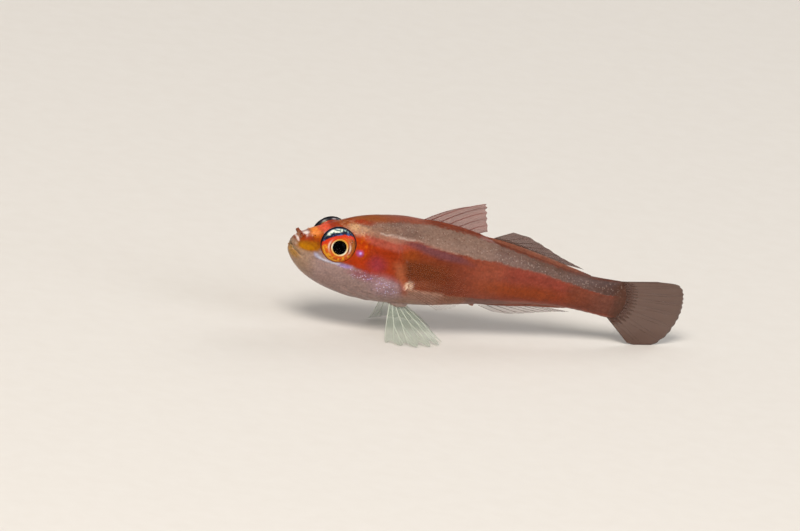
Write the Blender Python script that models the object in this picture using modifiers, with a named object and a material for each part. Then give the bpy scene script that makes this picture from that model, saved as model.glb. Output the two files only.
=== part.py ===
"""A coral dwarf goby, life size, perched on its pelvic fins and on the lower edge of its tail fin.

The fish is modelled straight and in millimetres, in its own frame: x runs from the snout to the tail, z is
up, and its left side is at -y. The body is one loft, parted by thin cuts at the gill opening and at the vent,
and the fins and eyes stand on it. At the end each piece is bent at the tail, pitched head up, set on the
floor and turned into metres, with the origin under the middle of the whole fish.
"""

import math

import bmesh
import bpy
import numpy as np
from mathutils import Matrix, Vector

METRES_PER_MM = 0.001
WELD = 0.0005

# The pose
TAIL_BEND_START = 12.0
TAIL_BEND_RADIUS = 105.0
PITCH = math.radians(5.5)
TAIL_TOUCH = (28.4, -3.19)

# The body: profiles along x, from the snout at 0 to the tail fin's root
BODY_LENGTH = 25.0
BACK = [(0.0, 0.32), (0.12, 0.66), (0.4, 0.98), (1.0, 1.42), (2.0, 2.12), (3.2, 2.7), (4.7, 3.14),
        (6.2, 3.45), (8.4, 3.69), (10.1, 3.66), (13.2, 3.36), (15.6, 2.94), (18.9, 2.28), (21.3, 1.78),
        (23.4, 1.52), (25.0, 1.48)]
BELLY = [(0.0, -0.14), (0.15, -0.45), (0.6, -1.03), (1.7, -1.84), (3.0, -2.36), (4.6, -2.73), (6.4, -2.86),
         (8.4, -2.78), (10.7, -2.55), (14.3, -1.88), (16.5, -1.54), (19.5, -1.14), (21.5, -1.08),
         (23.6, -1.22), (25.0, -1.4)]
HALF_WIDTH = [(0.0, 0.24), (0.12, 0.46), (0.4, 0.8), (0.7, 1.04), (1.2, 1.32), (2.2, 1.62), (3.4, 1.84),
              (5.0, 2.08), (6.8, 2.24), (8.6, 2.2), (11.0, 2.02), (14.0, 1.68), (17.0, 1.3), (20.0, 0.96),
              (23.0, 0.64), (25.0, 0.4)]
WIDEST_LEVEL = [(0.0, 0.05), (1.5, -0.2), (3.4, -0.45), (6.0, -0.2), (9.0, 0.25), (15.0, 0.5), (21.0, 0.3),
                (25.0, 0.0)]
UPPER_POWER = [(0.0, 2.1), (2.0, 1.8), (4.0, 1.75), (7.5, 2.0), (14.0, 1.95), (25.0, 1.8)]
LOWER_POWER = [(0.0, 2.1), (3.0, 2.2), (8.0, 2.25), (13.0, 2.1), (25.0, 1.8)]
SECTION_SIDES = 40
HEAD_RINGS = 26
HEAD_RING_CROWDING = 1.5
BODY_RINGS = 26
HEAD_END = 8.4

# The gill opening, which is also the cut between head and trunk, and the cut at the vent
GAP = 0.3
GILL_X = 7.75
GILL_LEVEL = 0.2
GILL_CURVE_UP = 0.095
GILL_CURVE_DOWN = 0.14
GILL_COVER_RISE = 0.13
GILL_COVER_WIDTH = 0.8
VENT_X = 14.4

# How far the shapes that cut the body reach past it, up, down and to the sides
OVER_BACK = 5.0
UNDER_BELLY = -4.5
BESIDE = 6.0
CUT_STEPS = 25

# The eyes
EYE_X = 3.2
EYE_Y = 1.44
EYE_Z = 1.13
EYE_RADIUS = 1.26
EYE_FRONT = 0.66
EYE_BACK = 0.5
EYE_TILT_UP = math.radians(11)
EYE_TURN_FORWARD = math.radians(8)
EYE_GAP = 0.15
PUPIL_RADIUS = 0.49
PUPIL_GROOVE = 0.05
EYE_STEPS = 28
EYE_DOME_SHARES = (0.0, 0.2, PUPIL_RADIUS / EYE_RADIUS, 0.55, 0.72, 0.86, 0.95)
EYE_BOWL_ANGLES = (8, 30, 50, 70)
ORBIT_RADIUS = 1.58
ORBIT_DEPTH = 0.74
ORBIT_INSET = 0.32

# The mouth and the nostrils
MOUTH_FRONT = (0.27, 0.14)
MOUTH_CORNER = (1.3, -0.5)
MOUTH_SAG = 0.03
UPPER_LIP_RADIUS = 0.2
UPPER_LIP_RISE = 0.2
LOWER_LIP_RADIUS = 0.15
LOWER_LIP_DROP = 0.14
LIP_FRONT_X = 0.15
LIP_CROWDING = 1.6
LIP_CORNER_THINNING = 0.5
LIP_CORNER_INSET = 0.12
LIP_STEPS = 9
MOUTH_SLIT = 0.12
SLIT_START = -0.7
NOSTRIL_X = 0.78
NOSTRIL_Y = 0.5
NOSTRIL_TUBE = 0.44
NOSTRIL_ROOT_DEPTH = 0.22
NOSTRIL_LEAN = (-0.62, 0.35, 0.75)
NOSTRIL_RADIUS = 0.15
NOSTRIL_TIP_SHARE = 0.85
NOSTRIL_BORE = 0.075
NOSTRIL_BORE_DEPTH = 0.2
REAR_NOSTRIL_X = 1.5
REAR_NOSTRIL_Y = 0.86
REAR_NOSTRIL_RADIUS = 0.13

# Fin thickness, over both faces
FIN_MEMBRANE = 0.5
FIN_RAY = 0.66
FIN_TIP_SHARE = 0.5
FIN_NOTCH = 0.025
FIN_THINNING = 1.3
MEMBRANE_SHARES = (0.25, 0.75)


def curve_through(points):
    """A smooth function of x through the points, with no overshoot between them."""
    xs = np.array([p[0] for p in points])
    ys = np.array([p[1] for p in points])
    steps = np.diff(xs)
    rises = np.diff(ys) / steps
    slopes = np.concatenate([rises[:1], np.zeros(len(xs) - 2), rises[-1:]])
    for i in range(1, len(xs) - 1):
        before, after = rises[i - 1], rises[i]
        if before * after > 0:
            near, far = 2 * steps[i] + steps[i - 1], steps[i] + 2 * steps[i - 1]
            slopes[i] = (near + far) / (near / before + far / after)

    def value(x):
        i = int(np.clip(np.searchsorted(xs, x) - 1, 0, len(steps) - 1))
        t = float(np.clip((x - xs[i]) / steps[i], 0, 1))
        from_start = (1 + 2 * t) * (1 - t) ** 2 * ys[i] + t * (1 - t) ** 2 * steps[i] * slopes[i]
        from_end = t * t * (3 - 2 * t) * ys[i + 1] + t * t * (t - 1) * steps[i] * slopes[i + 1]
        return float(from_start + from_end)

    return value


back = curve_through(BACK)
belly = curve_through(BELLY)
half_width = curve_through(HALF_WIDTH)
widest_level = curve_through(WIDEST_LEVEL)
upper_power = curve_through(UPPER_POWER)
lower_power = curve_through(LOWER_POWER)


def breadth(x, z):
    """How far the body's side is from its middle plane at this length and level."""
    level = widest_level(x)
    if z > level:
        share, power = (z - level) / (back(x) - level), upper_power(x)
    else:
        share, power = (level - z) / (level - belly(x)), lower_power(x)
    return half_width(x) * max(1 - min(share, 1) ** power, 0) ** (1 / power)


def gill_edge(z):
    """Where along the body the gill cover ends at this level."""
    off = z - GILL_LEVEL
    return GILL_X - (GILL_CURVE_UP if off > 0 else GILL_CURVE_DOWN) * off * off


def section_point(x, turn):
    """A point of the body's surface. Turn goes round the section, from the right side over the back."""
    across, up = math.cos(turn), math.sin(turn)
    level = widest_level(x)
    if up > 0:
        power, reach = upper_power(x), back(x) - level
    else:
        power, reach = lower_power(x), level - belly(x)
    y = half_width(x) * math.copysign(abs(across) ** (2 / power), across)
    z = level + reach * math.copysign(abs(up) ** (2 / power), up)
    before_edge = gill_edge(z) - x
    if before_edge > 0:
        swell = GILL_COVER_RISE * math.exp(-((before_edge / GILL_COVER_WIDTH) ** 2))
        y += math.copysign(swell * abs(across), y)
    return Vector((x, y, z))


def new_object(name, bm):
    mesh = bpy.data.meshes.new(name)
    bmesh.ops.recalc_face_normals(bm, faces=bm.faces)
    if bm.calc_volume(signed=True) < 0:
        bmesh.ops.reverse_faces(bm, faces=bm.faces)
    bm.to_mesh(mesh)
    bm.free()
    obj = bpy.data.objects.new(name, mesh)
    bpy.context.scene.collection.objects.link(obj)
    return obj


def lofted(name, rings):
    """A closed skin over rings of points, with flat ends."""
    bm = bmesh.new()
    verts = [[bm.verts.new(p) for p in ring] for ring in rings]
    sides = len(rings[0])
    for ring, following in zip(verts, verts[1:]):
        for i in range(sides):
            j = (i + 1) % sides
            bm.faces.new((ring[i], ring[j], following[j], following[i]))
    bm.faces.new(verts[0])
    bm.faces.new(verts[-1])
    return new_object(name, bm)


def prism(name, outline, y_from, y_to):
    """An outline in the side view, as (x, z) points, pushed from y_from to y_to."""
    return lofted(name, [[Vector((x, y, z)) for x, z in outline] for y in (y_from, y_to)])


def ball(name, centre, radius, sides=16):
    bm = bmesh.new()
    bmesh.ops.create_uvsphere(bm, u_segments=sides, v_segments=sides // 2, radius=radius)
    bmesh.ops.translate(bm, verts=bm.verts, vec=centre)
    return new_object(name, bm)


def rod(name, start, end, radius_start, radius_end, sides=10):
    """A round, tapered rod between two points."""
    run = Vector(end) - Vector(start)
    bm = bmesh.new()
    bmesh.ops.create_cone(bm, cap_ends=True, segments=sides, radius1=radius_start, radius2=radius_end,
                          depth=run.length)
    turn = run.to_track_quat("Z", "Y").to_matrix().to_4x4()
    bm.transform(Matrix.Translation((Vector(start) + Vector(end)) / 2) @ turn)
    return new_object(name, bm)


def evaluated_mesh(obj):
    graph = bpy.context.evaluated_depsgraph_get()
    return bpy.data.meshes.new_from_object(obj.evaluated_get(graph))


def remove(objects):
    for obj in objects:
        bpy.data.objects.remove(obj)


def joined_or_cut(obj, operation, others):
    """Applies one Boolean of obj with all the others, which are then removed."""
    tools = bpy.data.collections.new("tools")
    bpy.context.scene.collection.children.link(tools)
    for other in others:
        tools.objects.link(other)
    change = obj.modifiers.new(operation.lower(), "BOOLEAN")
    change.operation = operation
    change.operand_type = "COLLECTION"
    change.collection = tools
    change.solver = "EXACT"
    bpy.context.view_layer.update()
    mesh = evaluated_mesh(obj)
    obj.modifiers.clear()
    obj.data = mesh
    remove(others)
    bpy.data.collections.remove(tools)
    return obj


def keep_largest(obj):
    """Drops everything but the object's largest closed surface."""
    bm = bmesh.new()
    bm.from_mesh(obj.data)
    bmesh.ops.remove_doubles(bm, verts=bm.verts, dist=WELD)
    left, shells = set(bm.verts), []
    while left:
        shell, front = set(), [left.pop()]
        while front:
            vert = front.pop()
            shell.add(vert)
            near = {edge.other_vert(vert) for edge in vert.link_edges} & left
            left -= near
            front.extend(near)
        shells.append(shell)
    largest = max(shells, key=len)
    bmesh.ops.delete(bm, geom=[v for v in bm.verts if v not in largest], context="VERTS")
    bm.to_mesh(obj.data)
    bm.free()
    return obj


def body_loft(name):
    """The whole body, from snout to tail fin. Its rings stand closer together at the snout."""
    head_xs = [HEAD_END * (i / HEAD_RINGS) ** HEAD_RING_CROWDING for i in range(HEAD_RINGS)]
    rear_xs = [HEAD_END + (BODY_LENGTH - HEAD_END) * i / BODY_RINGS for i in range(BODY_RINGS + 1)]
    turns = [2 * math.pi * (i + 0.5) / SECTION_SIDES for i in range(SECTION_SIDES)]
    return lofted(name, [[section_point(x, turn) for turn in turns] for x in head_xs + rear_xs])


def gill_line(offset):
    """The gill cover's edge in the side view, from below the belly to above the back."""
    return [(gill_edge(z) + offset, z) for z in np.linspace(UNDER_BELLY, OVER_BACK, CUT_STEPS)]


def body_part(name, outline):
    """The stretch of the body that lies inside an outline of the side view."""
    window = prism("window", outline, -BESIDE, BESIDE)
    return keep_largest(joined_or_cut(body_loft(name), "INTERSECT", [window]))


def eye_frame(side):
    """Carries a shape turned round z, looking along +z, to the eye of the side: -1 is left, 1 is right."""
    outward = Vector((-math.sin(EYE_TURN_FORWARD), side * math.cos(EYE_TURN_FORWARD) * math.cos(EYE_TILT_UP),
                      math.sin(EYE_TILT_UP))).normalized()
    up = (Vector((0, 0, 1)) - outward * outward.z).normalized()
    across = up.cross(outward)
    turn = Matrix((across, up, outward)).transposed().to_4x4()
    return Matrix.Translation((EYE_X, side * EYE_Y, EYE_Z)) @ turn


def turned(name, profile, steps=EYE_STEPS):
    """A shape turned round z from (radius, height) points that run from its top down its outer side."""
    mesh = bpy.data.meshes.new(name)
    mesh.from_pydata([(r, 0, h) for r, h in profile], [(i, i + 1) for i in range(len(profile) - 1)], [])
    obj = bpy.data.objects.new(name, mesh)
    bpy.context.scene.collection.objects.link(obj)
    screw = obj.modifiers.new("turn", "SCREW")
    screw.steps = screw.render_steps = steps
    screw.use_merge_vertices = True
    screw.merge_threshold = 0.0001
    bpy.context.view_layer.update()
    solid = evaluated_mesh(obj)
    obj.modifiers.clear()
    obj.data = solid
    return obj


def eye_profile(grow, with_pupil):
    """Half the eye's outline: a shallow dome in front, with a step round the pupil, and a rounder back."""
    radius, front, rear = EYE_RADIUS + grow, EYE_FRONT + grow, EYE_BACK + grow
    dome = [(radius * s, front * math.sqrt(1 - s * s)) for s in EYE_DOME_SHARES]
    if with_pupil:
        edge_r, edge_h = dome[2]
        dome[2:3] = [(edge_r - PUPIL_GROOVE / 2, edge_h + PUPIL_GROOVE / 2),
                     (edge_r, edge_h - PUPIL_GROOVE), (edge_r + PUPIL_GROOVE, edge_h)]
        dome[:2] = [(r, h + PUPIL_GROOVE) for r, h in dome[:2]]
    bowl = [(radius * math.cos(a), -rear * math.sin(a)) for a in np.radians(EYE_BOWL_ANGLES)]
    return dome + bowl + [(0.0, -rear)]


def eye(name, side):
    obj = turned(name, eye_profile(0, True))
    obj.data.transform(eye_frame(side))
    return obj


def orbits_and_sockets():
    """The swelling of the head round each eye, and the cup that the eye sits in."""
    swellings, cups = [], []
    for side in (-1, 1):
        frame = eye_frame(side)
        swelling = ball("orbit", (0, 0, 0), 1.0, sides=EYE_STEPS)
        swelling.data.transform(Matrix.Diagonal((ORBIT_RADIUS, ORBIT_RADIUS, ORBIT_DEPTH, 1)))
        swelling.data.transform(frame @ Matrix.Translation((0, 0, -ORBIT_INSET)))
        swellings.append(swelling)
        cup = turned("socket", eye_profile(EYE_GAP, False))
        cup.data.transform(frame)
        cups.append(cup)
    return swellings, cups


def mouth_level(x):
    """The height of the mouth's line in the side view."""
    (x0, z0), (x1, z1) = MOUTH_FRONT, MOUTH_CORNER
    share = (x - x0) / (x1 - x0)
    return z0 + (z1 - z0) * share - MOUTH_SAG * math.sin(math.pi * min(max(share, 0), 1))


def lip(name, above):
    """One lip: a tube along the mouth's line, thinner at the corners, where it runs into the cheek."""
    slope = math.atan2(MOUTH_FRONT[1] - MOUTH_CORNER[1], MOUTH_CORNER[0] - MOUTH_FRONT[0])
    shift = Vector((math.sin(slope), 0, math.cos(slope))) * (UPPER_LIP_RISE if above else -LOWER_LIP_DROP)
    half = []
    for i in range(1, LIP_STEPS + 1):
        share = i / LIP_STEPS
        x = LIP_FRONT_X + (MOUTH_CORNER[0] - LIP_FRONT_X) * share ** LIP_CROWDING
        y = breadth(x, mouth_level(x)) - LIP_CORNER_INSET * share ** 4
        half.append((Vector((x, y, mouth_level(x))) + shift, 1 - LIP_CORNER_THINNING * share ** 2))
    middle = [(Vector((LIP_FRONT_X, 0, mouth_level(LIP_FRONT_X) + shift.z)), 1.0)]
    mirrored = [(Vector((p.x, -p.y, p.z)), r) for p, r in reversed(half)]
    route = mirrored + middle + half
    curve = bpy.data.curves.new(name, "CURVE")
    curve.dimensions = "3D"
    curve.bevel_depth = UPPER_LIP_RADIUS if above else LOWER_LIP_RADIUS
    curve.bevel_resolution = 2
    curve.use_fill_caps = True
    spline = curve.splines.new("POLY")
    spline.points.add(len(route) - 1)
    for point, (place, thickness) in zip(spline.points, route):
        point.co = (*place, 1)
        point.radius = thickness
    obj = bpy.data.objects.new(name, curve)
    bpy.context.scene.collection.objects.link(obj)
    bpy.context.view_layer.update()
    mesh = evaluated_mesh(obj)
    bpy.data.objects.remove(obj)
    bm = bmesh.new()
    bm.from_mesh(mesh)
    bmesh.ops.remove_doubles(bm, verts=bm.verts, dist=WELD)
    return new_object(name, bm)


def nostrils():
    """The front nostrils are short tubes, and the rear ones pits. Returns the tubes and what is cut out."""
    tubes, bores = [], []
    forward, outward, upward = NOSTRIL_LEAN
    for side in (-1, 1):
        root = Vector((NOSTRIL_X, side * NOSTRIL_Y, back(NOSTRIL_X) - NOSTRIL_ROOT_DEPTH))
        lean = Vector((forward, side * outward, upward)).normalized()
        mouth = root + lean * NOSTRIL_TUBE
        tubes.append(rod("nostril", root, mouth, NOSTRIL_RADIUS, NOSTRIL_RADIUS * NOSTRIL_TIP_SHARE))
        bottom = mouth - lean * NOSTRIL_BORE_DEPTH
        bores.append(rod("bore", bottom, mouth + lean, NOSTRIL_BORE, NOSTRIL_BORE, 8))
        level = next(z for z in np.arange(back(REAR_NOSTRIL_X), 0, -0.01)
                     if breadth(REAR_NOSTRIL_X, z) > REAR_NOSTRIL_Y)
        bores.append(ball("pit", (REAR_NOSTRIL_X, side * REAR_NOSTRIL_Y, level), REAR_NOSTRIL_RADIUS, 10))
    return tubes, bores


def head(name):
    """The head in front of the gill opening, with its lips, mouth slit, nostrils and eye sockets."""
    obj = body_part(name, [(SLIT_START, OVER_BACK), (SLIT_START, UNDER_BELLY)] + gill_line(0))
    swellings, cups = orbits_and_sockets()
    tubes, bores = nostrils()
    joined_or_cut(obj, "UNION", swellings + tubes + [lip("upper_lip", True), lip("lower_lip", False)])
    half = MOUTH_SLIT / 2
    xs = np.linspace(SLIT_START, MOUTH_CORNER[0], LIP_STEPS)
    upper = [(x, mouth_level(x) + half) for x in xs]
    lower = [(x, mouth_level(x) - half) for x in reversed(xs)]
    slit = prism("slit", upper + [(MOUTH_CORNER[0] + half, MOUTH_CORNER[1])] + lower, -BESIDE, BESIDE)
    joined_or_cut(obj, "DIFFERENCE", cups + bores + [slit])
    return keep_largest(obj)


def trunk(name):
    behind = [(VENT_X - GAP / 2, UNDER_BELLY), (VENT_X - GAP / 2, OVER_BACK)]
    return body_part(name, gill_line(GAP)[::-1] + behind)


def tail(name):
    start, end = VENT_X + GAP / 2, BODY_LENGTH + 1
    window = [(start, OVER_BACK), (start, UNDER_BELLY), (end, UNDER_BELLY), (end, OVER_BACK)]
    return body_part(name, window)


def bent_ray(root, direction, length, sag, steps):
    """A fin ray from its root, bent towards sag at its tip, as points."""
    direction = Vector(direction).normalized()
    sag = Vector(sag)
    shares = [i / (steps - 1) for i in range(steps)]
    return np.array([Vector(root) + direction * length * t + sag * length * t * t for t in shares])


def fin(name, rays, membrane=FIN_MEMBRANE, ray_thickness=FIN_RAY, tip_share=FIN_TIP_SHARE, notch=FIN_NOTCH):
    """A fin as one closed surface: each ray is a ridge on both faces, and the membrane thins to its edge."""
    steps = len(rays[0])
    columns, halves = [], []
    thinning = np.array([1 - (1 - tip_share) * (i / (steps - 1)) ** FIN_THINNING for i in range(steps)])
    for ray, following in zip(rays, list(rays[1:]) + [None]):
        columns.append(ray)
        halves.append(thinning * ray_thickness / 2)
        if following is not None:
            for share in MEMBRANE_SHARES:
                between = ray * (1 - share) + following * share
                columns.append(between[0] + (between - between[0]) * (1 - notch))
                halves.append(thinning * membrane / 2)
    grid = np.array(columns)
    along = np.gradient(grid, axis=1)
    across = np.gradient(grid, axis=0)
    normal = np.cross(along, across)
    normal /= np.linalg.norm(normal, axis=2, keepdims=True)
    offset = normal * np.array(halves)[:, :, None]
    bm = bmesh.new()
    faces = [[[bm.verts.new(p) for p in column] for column in grid + sign * offset] for sign in (1, -1)]
    for one, other in ((faces[0], False), (faces[1], True)):
        for a, b in zip(one, one[1:]):
            for i in range(steps - 1):
                for corners in ((a[i], b[i], b[i + 1]), (a[i], b[i + 1], a[i + 1])):
                    bm.faces.new(corners[::-1] if other else corners)
    rim, under = [
        [c[0] for c in face] + face[-1][1:] + [c[-1] for c in face[-2::-1]] + face[0][-2:0:-1]
        for face in faces
    ]
    for i, vert in enumerate(rim):
        j = (i + 1) % len(rim)
        bm.faces.new((vert, rim[j], under[j]))
        bm.faces.new((vert, under[j], under[i]))
    return new_object(name, bm)


FRONT_DORSAL = {"rays": 6, "start": 9.85, "end": 13.8, "steps": 6}
FRONT_DORSAL_LENGTH = curve_through([(0, 3.3), (0.2, 3.9), (0.4, 3.2), (0.6, 2.45), (0.8, 1.7), (1, 1.0)])
FRONT_DORSAL_SLANT = curve_through([(0, 33), (0.2, 29), (0.6, 27), (1, 24)])

REAR_DORSAL = {"rays": 9, "start": 14.9, "end": 20.5, "steps": 5}
REAR_DORSAL_LENGTH = curve_through([(0, 1.6), (0.13, 2.2), (0.5, 2.5), (0.85, 2.2), (1, 1.9)])
REAR_DORSAL_SLANT = curve_through([(0, 26), (0.13, 15), (0.25, 7), (0.38, 2), (0.5, -2), (0.7, -5), (1, -7)])

ANAL = {"rays": 9, "start": 15.1, "end": 20.3, "steps": 5}
ANAL_LENGTH = curve_through([(0, 1.3), (0.15, 2.0), (0.5, 2.3), (0.85, 2.1), (1, 1.8)])
ANAL_SLANT = curve_through([(0, -14), (0.4, -6), (1, -3)])


FIN_LEAN = 0.03
FIN_DROOP = 0.04


def median_fin(name, shape, length, slant, root_level):
    """A fin on the middle plane. Its rays lean back by slant degrees from the body's axis, and then bend."""
    rays = []
    for i in range(shape["rays"]):
        share = i / (shape["rays"] - 1)
        x = shape["start"] + (shape["end"] - shape["start"]) * share
        angle = math.radians(slant(share))
        direction = (math.cos(angle), 0, math.sin(angle))
        sag = (0, FIN_LEAN, -FIN_DROOP if root_level(x) > 0 else FIN_DROOP)
        rays.append(bent_ray((x, 0, root_level(x)), direction, length(share), sag, shape["steps"]))
    return fin(name, rays)


CAUDAL_RAYS = 14
CAUDAL_STEPS = 8
CAUDAL_ROOT = (25.3, 1.34, -1.3)
CAUDAL_BULGE = 0.28
CAUDAL_CURL = 0.06
CAUDAL_ANGLE = curve_through([(0, 7), (0.1, 7.5), (0.25, 3.6), (0.4, -0.5), (0.5, -4), (0.6, -9),
                              (0.7, -15.6), (0.8, -23.4), (0.9, -32), (1, -39)])
CAUDAL_LENGTH = curve_through([(0, 3.1), (0.1, 4.8), (0.25, 5.5), (0.5, 5.7), (0.7, 5.4), (0.8, 4.95),
                               (0.9, 4.15), (1, 2.6)])


def caudal_fin(name):
    """The tail fin: rays that fan from the end of the tail, the lower lobe spread down to the floor."""
    x, top, bottom = CAUDAL_ROOT
    rays = []
    for i in range(CAUDAL_RAYS):
        share = i / (CAUDAL_RAYS - 1)
        angle = math.radians(CAUDAL_ANGLE(share))
        root = (x + CAUDAL_BULGE * math.sin(math.pi * share), 0, top + (bottom - top) * share)
        sag = (0, CAUDAL_CURL * share, 0)
        length = CAUDAL_LENGTH(share) - CAUDAL_BULGE * math.sin(math.pi * share)
        rays.append(bent_ray(root, (math.cos(angle), 0, math.sin(angle)), length, sag, CAUDAL_STEPS))
    return fin(name, rays, ray_thickness=0.64, tip_share=0.55)


PECTORAL_RAYS = 11
PECTORAL_STEPS = 6
PECTORAL_ROOT = ((8.25, 0.9), (8.75, -1.15))
PECTORAL_ANGLE = (8, -30)
PECTORAL_FLARE = math.radians(16)
PECTORAL_CURL = 0.16
PECTORAL_STAND_OFF = 0.38
PECTORAL_LENGTH = curve_through([(0, 3.2), (0.2, 4.4), (0.45, 4.9), (0.7, 4.3), (1, 2.9)])


def pectoral_fin(name, side):
    """A side fin: a rounded fan behind the gill cover, held back along the flank and flared a little."""
    (x0, z0), (x1, z1) = PECTORAL_ROOT
    rays = []
    for i in range(PECTORAL_RAYS):
        share = i / (PECTORAL_RAYS - 1)
        x, z = x0 + (x1 - x0) * share, z0 + (z1 - z0) * share
        angle = math.radians(PECTORAL_ANGLE[0] + (PECTORAL_ANGLE[1] - PECTORAL_ANGLE[0]) * share)
        direction = (math.cos(angle), side * math.sin(PECTORAL_FLARE), math.sin(angle))
        root = (x, side * (breadth(x, z) + PECTORAL_STAND_OFF), z)
        curl = (0, -side * PECTORAL_CURL, 0)
        rays.append(bent_ray(root, direction, PECTORAL_LENGTH(share), curl, PECTORAL_STEPS))
    return fin(name, rays)


PELVIC_RAYS = 6
PELVIC_STEPS = 9
PELVIC_ROOT_X = (8.15, 9.45)
PELVIC_ROOT_Y = (1.12, 0.5)
PELVIC_HEADING = curve_through([(0, 94), (0.25, 72), (0.5, 53), (0.75, 36), (1, 22)])
PELVIC_REACH = curve_through([(0, 1.7), (0.25, 2.6), (0.5, 3.2), (0.75, 3.5), (1, 3.3)])
PELVIC_REST = 0.14
PELVIC_STAND_OFF = 0.34
PELVIC_KNEE = 0.42
PELVIC_KNEE_RISE = 0.1


def floor_level(x):
    """The floor's level under the straight fish. It falls towards the head, as the fish pitches head up."""
    return TAIL_TOUCH[1] + math.tan(PITCH) * (x - TAIL_TOUCH[0])


def pelvic_fin(name, side):
    """A belly fin: it stands spread under the fish, and its ray tips lie out flat on the floor."""
    rays = []
    for i in range(PELVIC_RAYS):
        share = i / (PELVIC_RAYS - 1)
        x = PELVIC_ROOT_X[0] + (PELVIC_ROOT_X[1] - PELVIC_ROOT_X[0]) * share
        y = PELVIC_ROOT_Y[0] + (PELVIC_ROOT_Y[1] - PELVIC_ROOT_Y[0]) * share
        level = next(z for z in np.arange(belly(x), 0, 0.01) if breadth(x, z) > y)
        root = Vector((x, side * y, level - PELVIC_STAND_OFF))
        heading = math.radians(PELVIC_HEADING(share))
        away = Vector((math.cos(heading), side * math.sin(heading), 0))
        tip = root + away * PELVIC_REACH(share)
        tip.z = floor_level(tip.x) + PELVIC_REST
        knee = root + away * PELVIC_REACH(share) * PELVIC_KNEE
        knee.z = floor_level(knee.x) + PELVIC_REST + PELVIC_KNEE_RISE
        shares = [j / (PELVIC_STEPS - 1) for j in range(PELVIC_STEPS)]
        rays.append(np.array([root * (1 - t) ** 2 + knee * 2 * t * (1 - t) + tip * t * t for t in shares]))
    return fin(name, rays, ray_thickness=0.62, tip_share=0.6, notch=0.04)


def bent(point):
    """Where a point of the straight fish goes when the tail is bent to its right along an arc."""
    past = point.x - TAIL_BEND_START
    if past <= 0:
        return point
    heading = past / TAIL_BEND_RADIUS
    x = TAIL_BEND_START + TAIL_BEND_RADIUS * math.sin(heading) - point.y * math.sin(heading)
    y = TAIL_BEND_RADIUS * (1 - math.cos(heading)) + point.y * math.cos(heading)
    return Vector((x, y, point.z))


def pose(obj):
    """Bends and pitches a finished piece, with the floor that it rests on at height 0."""
    lift = math.sin(PITCH) * bent(Vector((TAIL_TOUCH[0], 0, 0))).x - math.cos(PITCH) * TAIL_TOUCH[1]
    stand = Matrix.Translation((0, 0, lift)) @ Matrix.Rotation(PITCH, 4, "Y")
    for vert in obj.data.vertices:
        vert.co = stand @ bent(vert.co.copy())
    return obj


FLOOR_REACH = 60.0


def rest_on_floor(obj):
    """Cuts what would press into the floor, which leaves a small flat."""
    corners = [(-FLOOR_REACH, -FLOOR_REACH), (FLOOR_REACH, -FLOOR_REACH), (FLOOR_REACH, 0), (-FLOOR_REACH, 0)]
    below = prism("floor", corners, -FLOOR_REACH, FLOOR_REACH)
    return keep_largest(joined_or_cut(obj, "DIFFERENCE", [below]))


def material(name, colour, roughness):
    made = bpy.data.materials.new(name)
    made.use_nodes = True
    shader = made.node_tree.nodes["Principled BSDF"]
    shader.inputs["Base Color"].default_value = (*colour, 1)
    shader.inputs["Roughness"].default_value = roughness
    shader.inputs["Metallic"].default_value = 0.0
    return made


def centred(objects):
    """Puts the origin on the floor under the middle of the fish, and turns everything to metres."""
    corners = np.array([vert.co for obj in objects for vert in obj.data.vertices])
    low, high = corners.min(axis=0), corners.max(axis=0)
    to_origin = Matrix.Translation((-(low[0] + high[0]) / 2, -(low[1] + high[1]) / 2, -low[2]))
    for obj in objects:
        obj.data.transform(Matrix.Scale(METRES_PER_MM, 4) @ to_origin)


SHARP_ANGLE = math.radians(40)


def finish(obj, collection, finish_material):
    bm = bmesh.new()
    bm.from_mesh(obj.data)
    bmesh.ops.triangulate(bm, faces=[face for face in bm.faces if len(face.verts) > 4])
    bm.to_mesh(obj.data)
    bm.free()
    obj.data.materials.clear()
    obj.data.materials.append(finish_material)
    obj.data.shade_smooth()
    obj.data.set_sharp_from_angle(angle=SHARP_ANGLE)
    for owner in list(obj.users_collection):
        owner.objects.unlink(obj)
    collection.objects.link(obj)


def main():
    for obj in list(bpy.data.objects):
        bpy.data.objects.remove(obj)
    skin = material("skin", (0.36, 0.09, 0.05), 0.4)
    rear_skin = material("rear_skin", (0.33, 0.08, 0.05), 0.4)
    iris = material("eye", (0.25, 0.05, 0.01), 0.15)
    membrane = material("fin", (0.30, 0.17, 0.13), 0.45)
    over_back = lambda x: back(x) + GAP
    under_belly = lambda x: belly(x) - GAP
    dorsal_front = (FRONT_DORSAL, FRONT_DORSAL_LENGTH, FRONT_DORSAL_SLANT, over_back)
    dorsal_rear = (REAR_DORSAL, REAR_DORSAL_LENGTH, REAR_DORSAL_SLANT, over_back)
    anal = (ANAL, ANAL_LENGTH, ANAL_SLANT, under_belly)
    pieces = [
        (head("head"), skin),
        (trunk("trunk"), skin),
        (tail("tail"), rear_skin),
        (eye("eye_left", -1), iris),
        (eye("eye_right", 1), iris),
        (median_fin("dorsal_fin_front", *dorsal_front), membrane),
        (median_fin("dorsal_fin_rear", *dorsal_rear), membrane),
        (median_fin("anal_fin", *anal), membrane),
        (caudal_fin("caudal_fin"), membrane),
        (pectoral_fin("pectoral_fin_left", -1), membrane),
        (pectoral_fin("pectoral_fin_right", 1), membrane),
        (pelvic_fin("pelvic_fin_left", -1), membrane),
        (pelvic_fin("pelvic_fin_right", 1), membrane),
    ]
    goby = bpy.data.collections.new("coral_goby")
    bpy.context.scene.collection.children.link(goby)
    for obj, _ in pieces:
        pose(obj)
    for obj, _ in pieces:
        if obj.name.startswith(("pelvic", "caudal")):
            rest_on_floor(obj)
    centred([obj for obj, _ in pieces])
    for obj, finish_material in pieces:
        finish(obj, goby, finish_material)


main()
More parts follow.
